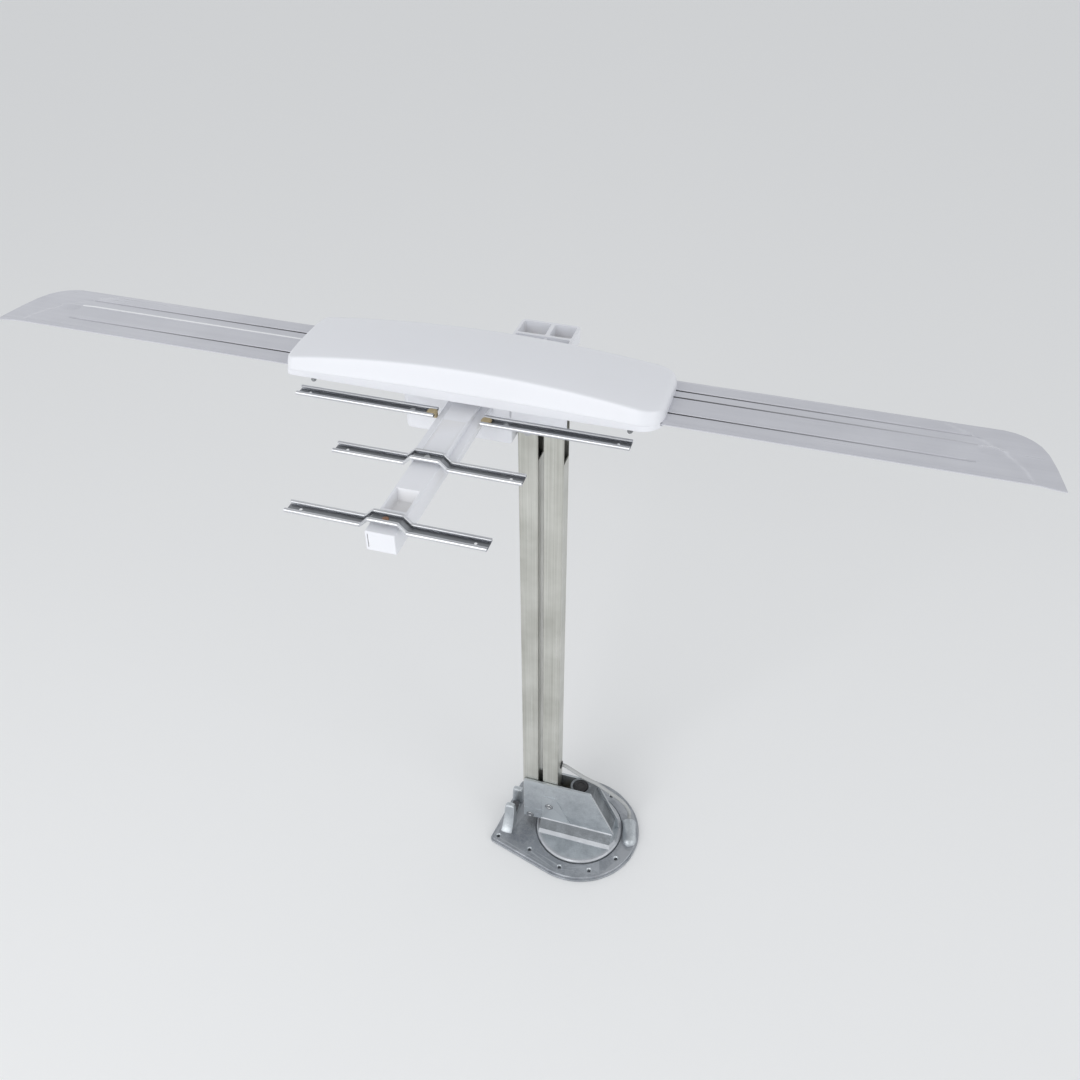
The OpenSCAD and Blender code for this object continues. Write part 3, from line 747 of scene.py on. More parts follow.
def build_turntable(context):
    """Disc, cheeks, foot, end wall and worm block of the gear housing."""
    s = context.scene.antenna_turntable
    radius = 69.5
    outer = CHEEK_FACE
    inner = outer - mm(s.wall)
    bm = bmesh.new()
    turned(bm, [(0, 1), (13.9, 1), (13.9, 4.6), (radius, 4.6), (radius, 9.6), (radius - 0.5, 10.4),
                (radius - 2.4, 12.0), (radius - 4.2, 12.2), (radius - 6.0, 11.8), (0, 11.8)], steps=128)
    worn_and_highlit = cast_metal("worn casting", tint(s.bright), tint(s.bright, 0.8), 0.55, 0.0001)
    shaded = cast_metal("shaded casting", tint(s.shadow, 1.3), tint(s.shadow, 0.7), 0.5, 0.0005)
    body = make_object("gear_housing_casting", bm, [smooth_casting(), worn_and_highlit, shaded])
    bm = bmesh.new()
    prism(bm, cheek_outline(119.5), -outer, -inner, "Y")
    prism(bm, cheek_outline(113.5), inner, outer, "Y")
    slope = [(14, 113), (18.6, 113), (56.4, 31.3), (56.4, 11), (52.4, 11), (52.4, 30)]
    prism(bm, slope, -outer + 0.8, outer - 0.8, "Y")
    combine(body, bm, "UNION")
    # foot of each cheek: reach in y, end in x, corner in y and x, inner side and height of each level
    foot_levels = [(32.5, 58.5, 18.0, 64.5, 12.0, 10.5), (32.5, 58.5, 18.0, 64.5, 12.0, 12.6),
                   (27.0, 56.5, 16.5, 61.5, 12.0, 16.4), (18.6, 57.8, 15.0, 60.2, 13.6, 31.4),
                   (16.9, 57.5, 14.5, 60.0, 13.6, 33.0)]
    for side in (-1, 1):
        bm = bmesh.new()
        stack(bm, [([(-60, side * wide), (end, side * wide), (tip, side * corner), (tip, side * inside),
                     (-60, side * inside)], z) for wide, end, corner, tip, inside, z in foot_levels])
        combine(body, bm, "UNION")
    bm = bmesh.new()
    turned(bm, [(0, 100), (16, 100), (16, 114), (0, 114)], steps=64)
    block(bm, (-3, -inner - 1, 100), (24, inner + 1, 114))
    combine(body, bm, "UNION")
    bm = bmesh.new()
    lift_pad = rounded([(-58, 34), (-58, 89), (-36, 89), (-11, 34)], [1, 2, 2, 1], 3)
    prism(bm, lift_pad, -outer - 1.2, -outer + 1, "Y")
    follower_pad = rounded([(-88.8, 29), (-88.8, 50), (-57, 50), (-57, 29)], 1.5, 3)
    prism(bm, follower_pad, -outer - 0.8, -outer + 1, "Y")
    combine(body, bm, "UNION")
    bm = bmesh.new()
    worm_bore = [(0, -1), (7, -1), (7, 90), (9, 90), (9, 107), (7, 107), (7, 110), (12.5, 110),
                 (12.5, 130), (0, 130)]
    turned(bm, worm_bore, steps=64)
    combine(body, bm)
    bm = bmesh.new()
    ring = mm(s.pin_ring)
    for pin_x, pin_z, face in PIN_PLACES:
        sunk = face - 0.9
        profile = [(0, -30), (4.0, -30), (4.0, sunk), (ring, sunk), (ring, face + 5), (0, face + 5)]
        turned(bm, profile, (pin_x, 0, pin_z), (0, -1, 0), 40)
    combine(body, bm)
    # The rounded edges take the lighter metal: wear, and a painted highlight along them.
    round_edges(body, mm(s.edge), 28.0, 2, slot=1)
    shade(body, 24)
    paint_casting(body, inner, outer, radius)
    hand_over(body, "turntable", ["gear_housing"])
    build_pins(outer)
    build_plug(s)
    dress("retaining_ring", steel_material())
    dress("worm_bushing", moulding("natural nylon", (0.66, 0.61, 0.50), (0.5, 0.46, 0.38)))
    dress("worm", brass_material())


def paint_casting(body, inner, outer, radius):
    """Paints shade on the recessed faces, and lightens the machined faces and the edges, partly for wear and
    partly as painted highlight.
    """
    shaded = 2
    worn_and_highlit = 1
    paint(body, shaded, lambda c, n: abs(c.y) < inner + 0.8 and c.z > 95 and c.x > -60)
    paint(body, shaded, lambda c, n: 16.9 < c.z < 31.3 and abs(c.y) < 27 and 0.15 < n.z < 0.9)
    for pin_x, pin_z, face in PIN_PLACES:
        floor_y = 0.2 - face
        paint(body, shaded, lambda c, n: (n.y < -0.9 and c.y > floor_y
                                          and math.hypot(c.x - pin_x, c.z - pin_z) < 6.3))
    # Painted highlight along with machining and wear: the foot's flat bar, the ledge line under each cheek,
    # the foot's end, the cheek ends and the disc's rim.
    paint(body, worn_and_highlit, lambda c, n: 12.7 < c.z < 16.2 and n.z > 0.3 and abs(c.y) > 26.5)
    paint(body, worn_and_highlit, lambda c, n: 31.4 < c.z < 33.2 and n.z > 0.2 and 15 < abs(c.y) < 19)
    paint(body, worn_and_highlit, lambda c, n: 12.7 < c.z < 16.2 and n.z > 0.3 and c.x > 55 and abs(c.y) > 12)
    paint(body, shaded, lambda c, n: (n.x > 0.3 and n.z > 0.1 and 15 < c.x < 57 and 31 < c.z < 113.2
                                      and abs(c.y) < inner))
    paint(body, worn_and_highlit, lambda c, n: (n.x > 0.5 and n.z > 0.1 and 33.5 < c.z < 118
                                    and inner <= abs(c.y) <= outer))
    paint(body, worn_and_highlit, lambda c, n: 9.7 < c.z < 12.3 and math.hypot(c.x, c.y) > radius - 5.8)


def build_pins(outer):
    """Pivot pins with dished heads in front and clinched ends behind."""
    bm = bmesh.new()
    for pin_x, pin_z, face in PIN_PLACES:
        profile = [(0, -outer - 2.4), (4.6, -outer - 2.4), (5.4, -outer - 1.6), (5.4, -outer - 0.1),
                   (4, -outer - 0.1), (4, face - 0.85), (5.0, face - 0.85), (5.2, face + 0.2),
                   (4.6, face + 0.9), (3.0, face + 0.8), (2.4, face + 0.1), (0, face - 0.1)]
        turned(bm, profile, (pin_x, 0, pin_z), (0, -1, 0), 36)
    pins = make_object("pivot_pin_pair", bm, [steel_material()])
    shade(pins, 40)
    hand_over(pins, "turntable", ["lower_pivot_pins"])


def build_plug(s):
    """Black plug with a hexagon over the worm."""
    low, high = node_box("bore_plug")
    bm = bmesh.new()
    turned(bm, [(0, low.z), (12.4, low.z), (12.4, low.z + 2.6), (11.9, low.z + 3.2), (0, low.z + 3.2)])
    plug = make_object("worm_plug", bm, [moulding("black plug", tint(s.plug), (0.05, 0.05, 0.05))])
    bm = bmesh.new()
    turns = [math.pi * k / 3 for k in range(6)]
    hexagon = rounded([(11.4 * math.cos(t), 11.4 * math.sin(t)) for t in turns], 1.2)
    small = [(x * 0.94, y * 0.94) for x, y in hexagon]
    stack(bm, [(hexagon, low.z + 3.0), (hexagon, high.z - 0.6), (small, high.z)])
    combine(plug, bm, "UNION")
    bm = bmesh.new()
    turned(bm, [(0, high.z - 1.0), (6.2, high.z - 1.0), (6.9, high.z + 1), (0, high.z + 1)])
    combine(plug, bm)
    shade(plug)
    hand_over(plug, "turntable", ["bore_plug"])


# Mast


def build_tube(name, node, pin, s, gear_slot):
    """Square tube with rounded ends, open on its right side at the top."""
    x, foot = pin
    top = foot + ARM
    low, high = node_box(node)
    half = (high.y - low.y) / 2
    inside = half - mm(s.wall)
    square = [(-half, -half), (half, -half), (half, half), (-half, half)]
    outline = [(a + x, b) for a, b in rounded(square, mm(s.corner), 4)]
    hollow_shade = [(a * inside / half, b * inside / half) for a, b in square]
    bore = [(a + x, b) for a, b in rounded(hollow_shade, 0.8, 2)]
    bm = bmesh.new()
    prism(bm, outline, foot - half, top + half)
    metal = streaked_metal("mill aluminium", tint(s.tone_light), tint(s.tone_dark), (420.0, 420.0, 3.5), 0.92)
    tube = make_object(name, bm, [metal])
    bm = bmesh.new()
    stadium = arc(x, foot, half - 0.02, math.pi, 2 * math.pi, 24) + arc(x, top, half - 0.02, 0, math.pi, 24)
    wide = [(x + (a - x) * 1.002, b) for a, b in stadium]
    prism(bm, wide, -half - 1, half + 1, "Y")
    combine(tube, bm, "INTERSECT")
    bm = bmesh.new()
    prism(bm, bore, foot - 40, top + 40)
    combine(tube, bm)
    bm = bmesh.new()
    block(bm, (x + inside - 1, -inside + 0.5, 733), (x + half + 1, inside - 0.5, 1000))
    for z in (foot, top):
        turned(bm, [(0, -30), (4.05, -30), (4.05, 30), (0, 30)], (x, 0, z), (0, 1, 0), 32)
    if gear_slot:
        block(bm, (x + 1, -6, foot - 30), (x + 30, 6, foot + 18))
        turned(bm, [(0, 0), (5, 0), (5, 30), (0, 30)], (x, mm(s.exit_y), mm(s.exit_z)), (1, 0, 0), 32)
    combine(tube, bm)
    round_edges(tube, 0.22, 50.0, 1)
    shade(tube, 40)
    return tube


def build_mast(context):
    """The two tubes, the gear sector's finish and the grommet."""
    s = context.scene.antenna_mast
    lift = build_tube("lift_tube_profile", "lift_tube", LIFT_PIN, s, True)
    hand_over(lift, "lift_arm", ["lift_tube"])
    follower = build_tube("follower_tube_profile", "follower_tube", FOLLOWER_PIN, s, False)
    hand_over(follower, "follower_arm", ["follower_tube"])
    dress("sector_gear", brass_material())
    low, high = node_box("cable_grommet")
    width = high.x - low.x
    profile = [(3.2, 0.0), (4.9, 0.0), (4.9, width - 1.4), (6.2, width - 1.4), (6.4, width - 1.0),
               (6.2, width - 0.5), (5.2, width), (3.9, width), (3.2, width - 0.5)]
    bm = bmesh.new()
    ring_steps = 36
    rings = []
    for radius, height in profile + [profile[0]]:
        circle = arc(0, 0, radius, 0, 2 * math.pi * (ring_steps - 1) / ring_steps, ring_steps - 1)
        rings.append([Vector((low.x + height, mm(s.exit_y) + a, mm(s.exit_z) + b)) for a, b in circle])
    loft(bm, rings, closed=False)
    bmesh.ops.remove_doubles(bm, verts=bm.verts, dist=0.001)
    grommet = make_object("coax_grommet", bm, [rubber_material()])
    shade(grommet, 50)
    hand_over(grommet, "lift_arm", ["cable_grommet"])


# Coax

COAX_RADIUS = 3.0
COAX_ROUTE = [
    (-32, 5, 149), (-27.5, 5, 148.4), (-21, 5, 145.2), (-12, 5, 139.8), (-3, 5, 134.6),
    (6, 5.2, 129.8), (14.5, 5.8, 125.6), (22, 7, 121.2), (29, 9, 114), (35.5, 12, 105.5),
    (42, 15.6, 95.8), (48.5, 19.6, 85.6), (54.5, 24, 75), (60, 28.6, 63.8), (64.8, 32.8, 52.6),
    (68.4, 35.8, 42.5), (71.2, 37.6, 34), (73.4, 38.6, 27), (74.5, 39, 22.8), (74.7, 39, 19.7),
]
TAIL_ROUTE = [
    (74.7, 39, 19), (74.71, 38.95, 18), (74.79, 38.6, 16.74), (75.05, 37.5, 14.76), (75.44, 35.8, 13.28),
    (76.18, 32.6, 12.4), (77.1, 28.6, 12.4), (78.5, 22.5, 12.4), (80.3, 14.7, 12.4), (82.3, 6, 12.4),
]


def smooth_route(points, before, after, steps=4):
    """Points on a smooth curve through a route, between the neighbours before and after it."""
    line = [Vector(p) for p in [before, *points, after]]
    route = []
    for i in range(1, len(line) - 2):
        p0, p1, p2, p3 = line[i - 1:i + 3]
        for k in range(steps):
            t = k / steps
            route.append(
                0.5 * (2 * p1 + (p2 - p0) * t + (2 * p0 - 5 * p1 + 4 * p2 - p3) * t * t
                       + (3 * p1 - p0 - 3 * p2 + p3) * t * t * t)
            )
    route.append(line[-2])
    return route


def cable_mesh(name, route, radius, material):
    """Round tube along a route."""
    bm = bmesh.new()
    side = Vector((0.3, -0.9, 0.2))
    rings = []
    for i, point in enumerate(route):
        along = (route[min(i + 1, len(route) - 1)] - route[max(i - 1, 0)]).normalized()
        u = side.cross(along).normalized()
        v = along.cross(u)
        turns = [2 * math.pi * k / 16 for k in range(16)]
        rings.append([point + radius * (math.cos(t) * u + math.sin(t) * v) for t in turns])
    loft(bm, rings)
    cable = make_object(name, bm, [material])
    shade(cable, 60)
    return cable


def lay_cord(name, route, node, jacket):
    """Stretch of coax along a route that stands for a CAD node."""
    cable = cable_mesh(name, route, COAX_RADIUS, jacket)
    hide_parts(node)
    return cable


def build_coax(context):
    """Coax from the mast to the hood, in a free length and the end that the hood holds."""
    s = context.scene.antenna_base
    jacket = moulding("coax jacket", tint(s.jacket), (0.30, 0.30, 0.29), coat=0.2)
    route = smooth_route(COAX_ROUTE, (-38, 5, 149), (74.7, 39, 16))
    run = lay_cord("coax_run", route, "coax_cable", jacket)
    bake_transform(run)
    tail_line = [route[-1]] + smooth_route(TAIL_ROUTE, (74.7, 39, 21), (83.5, 1, 12.4))
    tail = lay_cord("coax_end", tail_line, "coax_tail", jacket)
    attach(tail, "base")


# Head


def housing_section(s, along, reach, half_width, underside):
    """Ring of the housing's outside in y and z, at a place along its length."""
    crown = mm(s.crown)
    drop = crown - mm(s.end_height) - 3.0
    share = along / (reach - 16.0)
    top = crown - drop * min(share * share, 1.15)
    lean = mm(s.slope) * top / crown
    crease = mm(s.crease)
    ledge = 0.30 * top
    front = half_width
    points = [(-front, 0.0), (-front + 0.1, 1.2)]
    points += [(-front + lean * 0.10, ledge - 1.4), (-front + lean * 0.16 + 1.2, ledge)]
    points += [(-front + lean * 0.55 + 0.5, 0.6 * top)]
    edge = -front + lean
    points += [(edge - 0.4 + crease * (1 - math.cos(t)), top - 3.2 - crease * (1 - math.sin(t)))
               for t in (0.0, 0.4, 0.8, 1.2, 1.57)]
    mirror = [(-a, b) for a, b in reversed(points)]
    across = -points[-1][0]
    ridge = []
    for k in range(1, 12):
        y = -across + 2 * across * k / 12
        ridge.append((y, top - 3.2 + 3.2 * (1 - (y / across) ** 2) ** 0.8))
    return [(a, b + underside) for a, b in points + ridge + mirror]


def plan_width(s, along, reach, depth):
    """Half depth of the housing in plan at a place along it, soft at the right end and crisp at the left."""
    radius = mm(s.soft_end if along > 0 else s.crisp_end)
    past = max(abs(along) - (reach - radius), 0.0)
    return depth - 1.5 * (along / reach) ** 2 - radius + math.sqrt(max(radius * radius - past * past, 0.0))


def build_housing(context):
    """Crowned cover and the tray under it."""
    s = context.scene.antenna_head
    low, high = node_box("upper_housing")
    base_low, base_high = node_box("housing_base")
    # the skirt hangs lower than the tray, so the tray's underside follows from the crown
    base_low.z = high.z - mm(s.crown)
    centre = (low.x + high.x) / 2
    reach = (high.x - low.x) / 2
    depth = (high.y - low.y) / 2
    stations = [reach * math.sin(math.pi / 2 * k / 44) for k in range(45)]
    places = [-u for u in reversed(stations[1:])] + stations
    rings = []
    for u in places:
        ring = housing_section(s, u, reach, plan_width(s, u, reach, depth), base_low.z + 4.0)
        soft = max(u - (reach - 9.0), 0.0) / 9.0 if u > 0 else max(-u - (reach - 3.0), 0.0) / 3.0
        squeeze = 1.0 - (0.36 if u > 0 else 0.10) * (1 - math.sqrt(max(1.0 - soft * soft, 0.0)))
        tall = high.z - base_low.z - 4.0
        share = squeeze * tall / mm(s.crown)
        rings.append([
            Vector((centre + u, a, base_low.z + 4.0 + (b - base_low.z - 4.0) * share)) for a, b in ring
        ])
    bm = bmesh.new()
    loft(bm, rings)
    white = moulding("white cover", tint(s.white_top), (0.70, 0.70, 0.71), coat=0.3)
    cover = make_object("crowned_cover", bm, [white])
    bm = bmesh.new()
    for side in (-1, 1):
        x_low = centre + (side * 230 if side < 0 else 190)
        block(bm, (x_low, -44, base_low.z + 5.6), (x_low + 40, 53, base_low.z + 9.6))
    combine(cover, bm)
    shade(cover, 40)
    hand_over(cover, "head", ["upper_housing"])
    bm = bmesh.new()
    levels = []
    for inset, rise in ((2.6, 0.0), (0.5, 0.6), (0.0, 1.4), (0.0, 3.7), (0.6, 4.0)):
        outline = []
        for u in places:
            outline.append((centre + u * (reach - inset) / reach, -(plan_width(s, u, reach, depth) - inset)))
        outline += [(x, -y) for x, y in reversed(outline)]
        levels.append((outline, base_low.z + rise))
    stack(bm, levels)
    for side in (-1, 1):
        x = centre + side * BOLT_SPOT[0]
        block(bm, (x - 24, -38, base_low.z + 3), (x + 24, 38, base_high.z))
    skirt = rounded([(-91.8, -33), (-25.8, -33), (-25.8, -29.5), (-91.8, -29.5)], [0.5, 1.6, 0.5, 0.5], 4)
    stack(bm, [(skirt, base_low.z - 28.0), (skirt, base_low.z + 1.0)])
    tray = make_object("housing_tray", bm, [white_material()])
    bm = bmesh.new()
    for side_x in (-1, 1):
        for side_y in (-1, 1):
            spot = (centre + side_x * SCREW_SPOT[0], side_y * SCREW_SPOT[1], base_low.z)
            turned(bm, [(0, -1), (3.4, -1), (3.4, 0.0), (1.75, 1.2), (1.75, 9), (0, 9)], spot, steps=24)
            spot = (centre + side_x * BOLT_SPOT[0], side_y * BOLT_SPOT[1], base_low.z)
            turned(bm, [(0, -1), (2.1, -1), (2.1, 9), (0, 9)], spot, steps=24)
    combine(tray, bm)
    shade(tray, 40)
    hand_over(tray, "head", ["housing_base"])
    build_lower_box(s)
    build_clip()
    for node in ("housing_screws", "wing_bolts", "upper_pivot_pins"):
        dress(node, steel_material())
    plated = streaked_metal("dark plated steel", (0.24, 0.25, 0.27), (0.14, 0.15, 0.16), (90.0, 90.0, 90.0))
    dress("head_bracket", plated)
    dress("amplifier_board", moulding("board laminate", (0.05, 0.20, 0.10), (0.05, 0.15, 0.08), coat=0.3))
    dress("coax_socket", brass_material())


def build_lower_box(s):
    """White box under the housing, with a small step and a draft."""
    low, high = node_box("lower_housing")
    bm = bmesh.new()
    corners = [(low.x, low.y), (high.x, low.y), (high.x, high.y), (low.x, high.y)]
    centre = Vector(((low.x + high.x) / 2, (low.y + high.y) / 2))
    levels = []
    for inset, z in ((3.2, low.z), (1.8, low.z + 0.8), (1.2, low.z + 2.2), (0.7, low.z + 30),
                     (0.7, high.z - 12), (0.0, high.z - 11.2), (0.0, high.z)):
        box = [(centre.x + (x - centre.x) * (1 - inset / 67), centre.y + (y - centre.y) * (1 - inset / 30))
               for x, y in corners]
        levels.append((rounded(box, [8, 4, 4, 8], 6), z))
    stack(bm, levels)
    box = make_object("tuner_box", bm, [white_material()])
    wall = mm(s.wall)
    side = wall + 1.2
    bm = bmesh.new()
    block(bm, (low.x + side, low.y + side, low.z + wall), (high.x - side, high.y - side, high.z + 5))
    combine(box, bm)
    bm = bmesh.new()
    turned(bm, [(0, -2), (4.8, -2), (4.8, 8), (0, 8)], (SOCKET_X, 0, low.z), steps=32)
    combine(box, bm)
    shade(box, 40)
    hand_over(box, "head", ["lower_housing"])


def build_clip():
    """Clip tray behind the housing, with two pockets and a gusset."""
    low, high = node_box("back_clip")
    back = 61.1
    bm = bmesh.new()
    corners = [(low.x, back), (high.x, back), (high.x, high.y), (low.x, high.y)]
    deck = 829.0
    outline = rounded(corners, [1.5, 1.5, 6, 6], 5)
    inner = [((x - (low.x + high.x) / 2) * 0.975 + (low.x + high.x) / 2, y - 0.8) for x, y in outline]
    stack(bm, [(inner, 826.0), (outline, 827.2), (outline, high.z - 0.6), (inner, high.z)])
    clip = make_object("clip_tray", bm, [white_material()])
    bm = bmesh.new()
    for x0, x1, start, end in ((-124, -56, 4, 28), (-124, -89, 32, 62), (-84, -56, 32, 62)):
        y0 = back + start
        y1 = back + end
        prism(bm, rounded([(x0, y0), (x1, y0), (x1, y1), (x0, y1)], 2.5, 4), deck, 870)
    combine(clip, bm)
    bm = bmesh.new()
    block(bm, (-118, back - 14, low.z), (-62, back + 2, 826.4))
    combine(clip, bm, "UNION")
    bm = bmesh.new()
    prism(bm, [(back + 27, deck), (back + 27, high.z - 1), (back + 12, deck)], -88.5, -84.5, "X")
    combine(clip, bm, "UNION")
    round_edges(clip, 0.45, 45.0, 2)
    shade(clip)
    hand_over(clip, "head", ["back_clip"])


# Wings


def ease(value, start, end):
    """Smooth step from 0 at start to 1 at end."""
    t = min(max((value - start) / (end - start), 0.0), 1.0)
    return t * t * (3 - 2 * t)


def wing_relief(s, u, y):
    """Height of the sheet's top over its edge, at a distance u along the wing."""
    relief = mm(s.relief)
    slant = 601.0 - 0.2 * (y + 38.0) - 0.009 * max(y + 38.0, 0.0) ** 2
    panel = 1.0 - ease(u, slant - 2.4, slant + 2.4)
    panel *= ease(y, -42.0, -38.5) * (1.0 - ease(y, 47.5, 51.0))
    height = relief * panel
    half = mm(s.groove_width) / 2
    for middle, last, sign in ((GROOVE_Y[0], 560.0, -1), (RIDGE_Y, 552.0, 0), (GROOVE_Y[1], 556.0, -1)):
        across = abs(y - middle) / half
        fade = 1.0 - ease(u, last - 26.0, last)
        if across < 1.0 and sign:
            height += sign * mm(s.groove) * fade * (1 - across ** 2) ** 1.2
        if across < 1.4 and not sign:
            height += 1.15 * fade * max(1 - (across / 1.4) ** 2, 0.0)
    boss = math.hypot((u - 565.0) / 15.5, (y - 6.0) / 8.0)
    if boss < 1.0:
        height += 2.4 * (1 - boss ** 2) ** 0.7
    height += 0.9 * (1 - ease(abs(u - 575.0), 0.0, 40.0)) * (1 - ease(abs(y - 6.0), 10.0, 34.0)) * 0.35
    return height


def tip_edge(y):
    """Reach of the wing at a place across it, along its swept tip."""
    corners = [(-47.0, 635.0), (-30.0, 632.0), (-8.0, 627.5), (16.0, 621.5), (30.0, 615.0), (40.0, 606.5),
               (46.5, 597.0), (50.2, 588.0), (52.0, 578.0)]
    for (y0, x0), (y1, x1) in zip(corners, corners[1:]):
        if y <= y1:
            return x0 + (x1 - x0) * (y - y0) / (y1 - y0)
    return corners[-1][1]


def build_wing(name, node, side, s, metals):
    """One embossed wing with a thin turned-down edge and a swept tip."""
    low, high = node_box(node)
    centre = HEAD_X
    across = sorted(set(
        [-43.0, -42.4, -41.6, -40.6, -39.4, -38.2, -34, -30, -26, 48.0, 49.0, 50.0, 51.0, 51.6, 52.0]
        + [y + d for y in GROOVE_Y for d in (-2.6, -2.1, -1.6, -1.1, -0.6, 0, 0.6, 1.1, 1.6, 2.1, 2.6)]
        + [RIDGE_Y + d for d in (-3.2, -2.6, -2.0, -1.4, -0.7, 0, 0.7, 1.4, 2.0, 2.6, 3.2)]
        + [-14, -10, -6, -3, 0, 3, 6, 18, 22, 35, 39, 43, 46]
    ))
    stops = [128.0, 180, 230, 290, 350, 410, 470, 500] + [515 + 2.4 * k for k in range(51)]
    top = low.z + mm(s.sheet)
    bm = bmesh.new()
    grid = []
    for y in across:
        reach = tip_edge(y)
        row = []
        for u in stops:
            far = u if u <= 520 else 520 + (u - 520) * (reach - 520) / (stops[-1] - 520)
            drift = -4.0 * ease(far, 600.0, 635.0) * (1 - ease(y, -43.0, 0.0))
            row.append(bm.verts.new((centre + side * far, y + drift, top + wing_relief(s, far, y))))
        grid.append(row)
    for row, after in zip(grid, grid[1:]):
        for k in range(len(stops) - 1):
            bm.faces.new((row[k], row[k + 1], after[k + 1], after[k]))
    wing = make_object(name, bm, metals)
    if wing.data.polygons[0].normal.z < 0:
        wing.data.flip_normals()
    thicken = wing.modifiers.new("sheet", "SOLIDIFY")
    thicken.thickness = s.sheet
    thicken.offset = -1.0
    settle(wing)
    shade(wing, 45)
    # Painted shade in the grooves.
    paint(wing, 1, lambda c, n: (n.z > 0 and abs(c.x - centre) < 548
                                 and min(abs(c.y - y) for y in GROOVE_Y) < 1.7))
    # Painted light: the ridge takes the painted highlight on the left wing and the groove's painted shade on
    # the right wing, as the light falls from one side.
    ridge = 2 if side < 0 else 1
    paint(wing, ridge, lambda c, n: n.z > 0 and abs(c.x - centre) < 550 and abs(c.y - RIDGE_Y) < 1.5)
    hand_over(wing, "head", [node])


def fading_groove(name, root, tip):
    """Painted shade for a groove, dark at the wing's root and fading towards its tip."""
    material, tree, shader, vector = start_material(name)
    split = tree.nodes.new("ShaderNodeSeparateXYZ")
    tree.links.new(vector, split.inputs[0])
    away = math_node(tree, "ABSOLUTE", add(tree, split.outputs["X"], -HEAD_X * MM), 0.0)
    amount = remap(tree, away, 0.22, 0.53)
    blend = tree.nodes.new("ShaderNodeMix")
    blend.data_type = "RGBA"
    blend.inputs[6].default_value = (*root, 1.0)
    blend.inputs[7].default_value = (*tip, 1.0)
    tree.links.new(amount, blend.inputs[0])
    tree.links.new(blend.outputs[2], shader.inputs["Base Color"])
    shader.inputs["Roughness"].default_value = 0.45
    shader.inputs["Metallic"].default_value = 0.2
    return material


def build_wings(context):
    """Left and right wing."""
    s = context.scene.antenna_wings
    stretch = (2.0, 60.0, 60.0)
    sheet = streaked_metal("satin sheet", tint(s.tone), tint(s.tone_dark), stretch, 0.35, 0.00001)
    shadow = fading_groove("pressed groove", tint(s.shadow), tint(s.tone, 0.85))
    ridge = streaked_metal("highlighted ridge", tint(s.ridge), tint(s.ridge, 0.92), stretch, 0.2)
    build_wing("left_wing_sheet", "left_wing", -1, s, [sheet, shadow, ridge])
    build_wing("right_wing_sheet", "right_wing", 1, s, [sheet, shadow, ridge])


# Booster


def channel_profile(s, half):
    """Section of a channel in y and z: a trough between two rolled lips."""
    sheet = mm(s.sheet)
    lip = mm(s.lip)
    rise = mm(s.rise)
    reach = half - lip
    outer = arc(reach, rise, lip, math.radians(-90), math.radians(160), 14)
    inner = arc(reach, rise, lip - sheet, math.radians(160), math.radians(-60), 10)
    right = outer + inner + [(reach - 0.6, sheet + 0.55), (reach - 1.8, sheet + 0.12)]
    left = [(-a, b) for a, b in reversed(right)]
    under = [(-reach, 0.2)]
    return [(reach, 0.2)] + right[1:] + [(reach - 4.0, sheet), (-reach + 4.0, sheet)] + left[:-1] + under


def hat_line(centre, half_length, flat, foot, low, high):
    """Line of a director that steps up over the boom, with eased bends."""
    right = [(0.0, high), (flat - 2.4, high), (flat - 1.2, high - 0.2), (flat - 0.2, high - 0.8),
             (flat + 0.7, high - 1.8), (foot - 0.9, low + 1.8), (foot, low + 0.8), (foot + 1.0, low + 0.2),
             (foot + 2.4, low), (half_length, low)]
    left = [(-x, z) for x, z in reversed(right[1:])]
    return [(centre + x, z) for x, z in left + right]


def build_element(name, node, s, line, holes, y, metals):
    """One element channel along a line in x and z, with its holes."""
    low, high = node_box(node)
    half = (high.y - low.y) / 2
    section = channel_profile(s, half)
    bm = bmesh.new()
    loft(bm, [[Vector((x, y + a, z + b)) for a, b in section] for x, z in line])
    element = make_object(name, bm, metals)
    bm = bmesh.new()
    for x, radius in holes:
        turned(bm, [(0, 800), (radius, 800), (radius, 830), (0, 830)], (x, y, 0), steps=24)
    combine(element, bm)
    shade(element, 38)
    # Painted shade on the upward faces of the trough.
    paint(element, 1, lambda c, n: abs(c.y - y) < half - 4.4 and n.z > 0.2)
    hand_over(element, "head", [node])


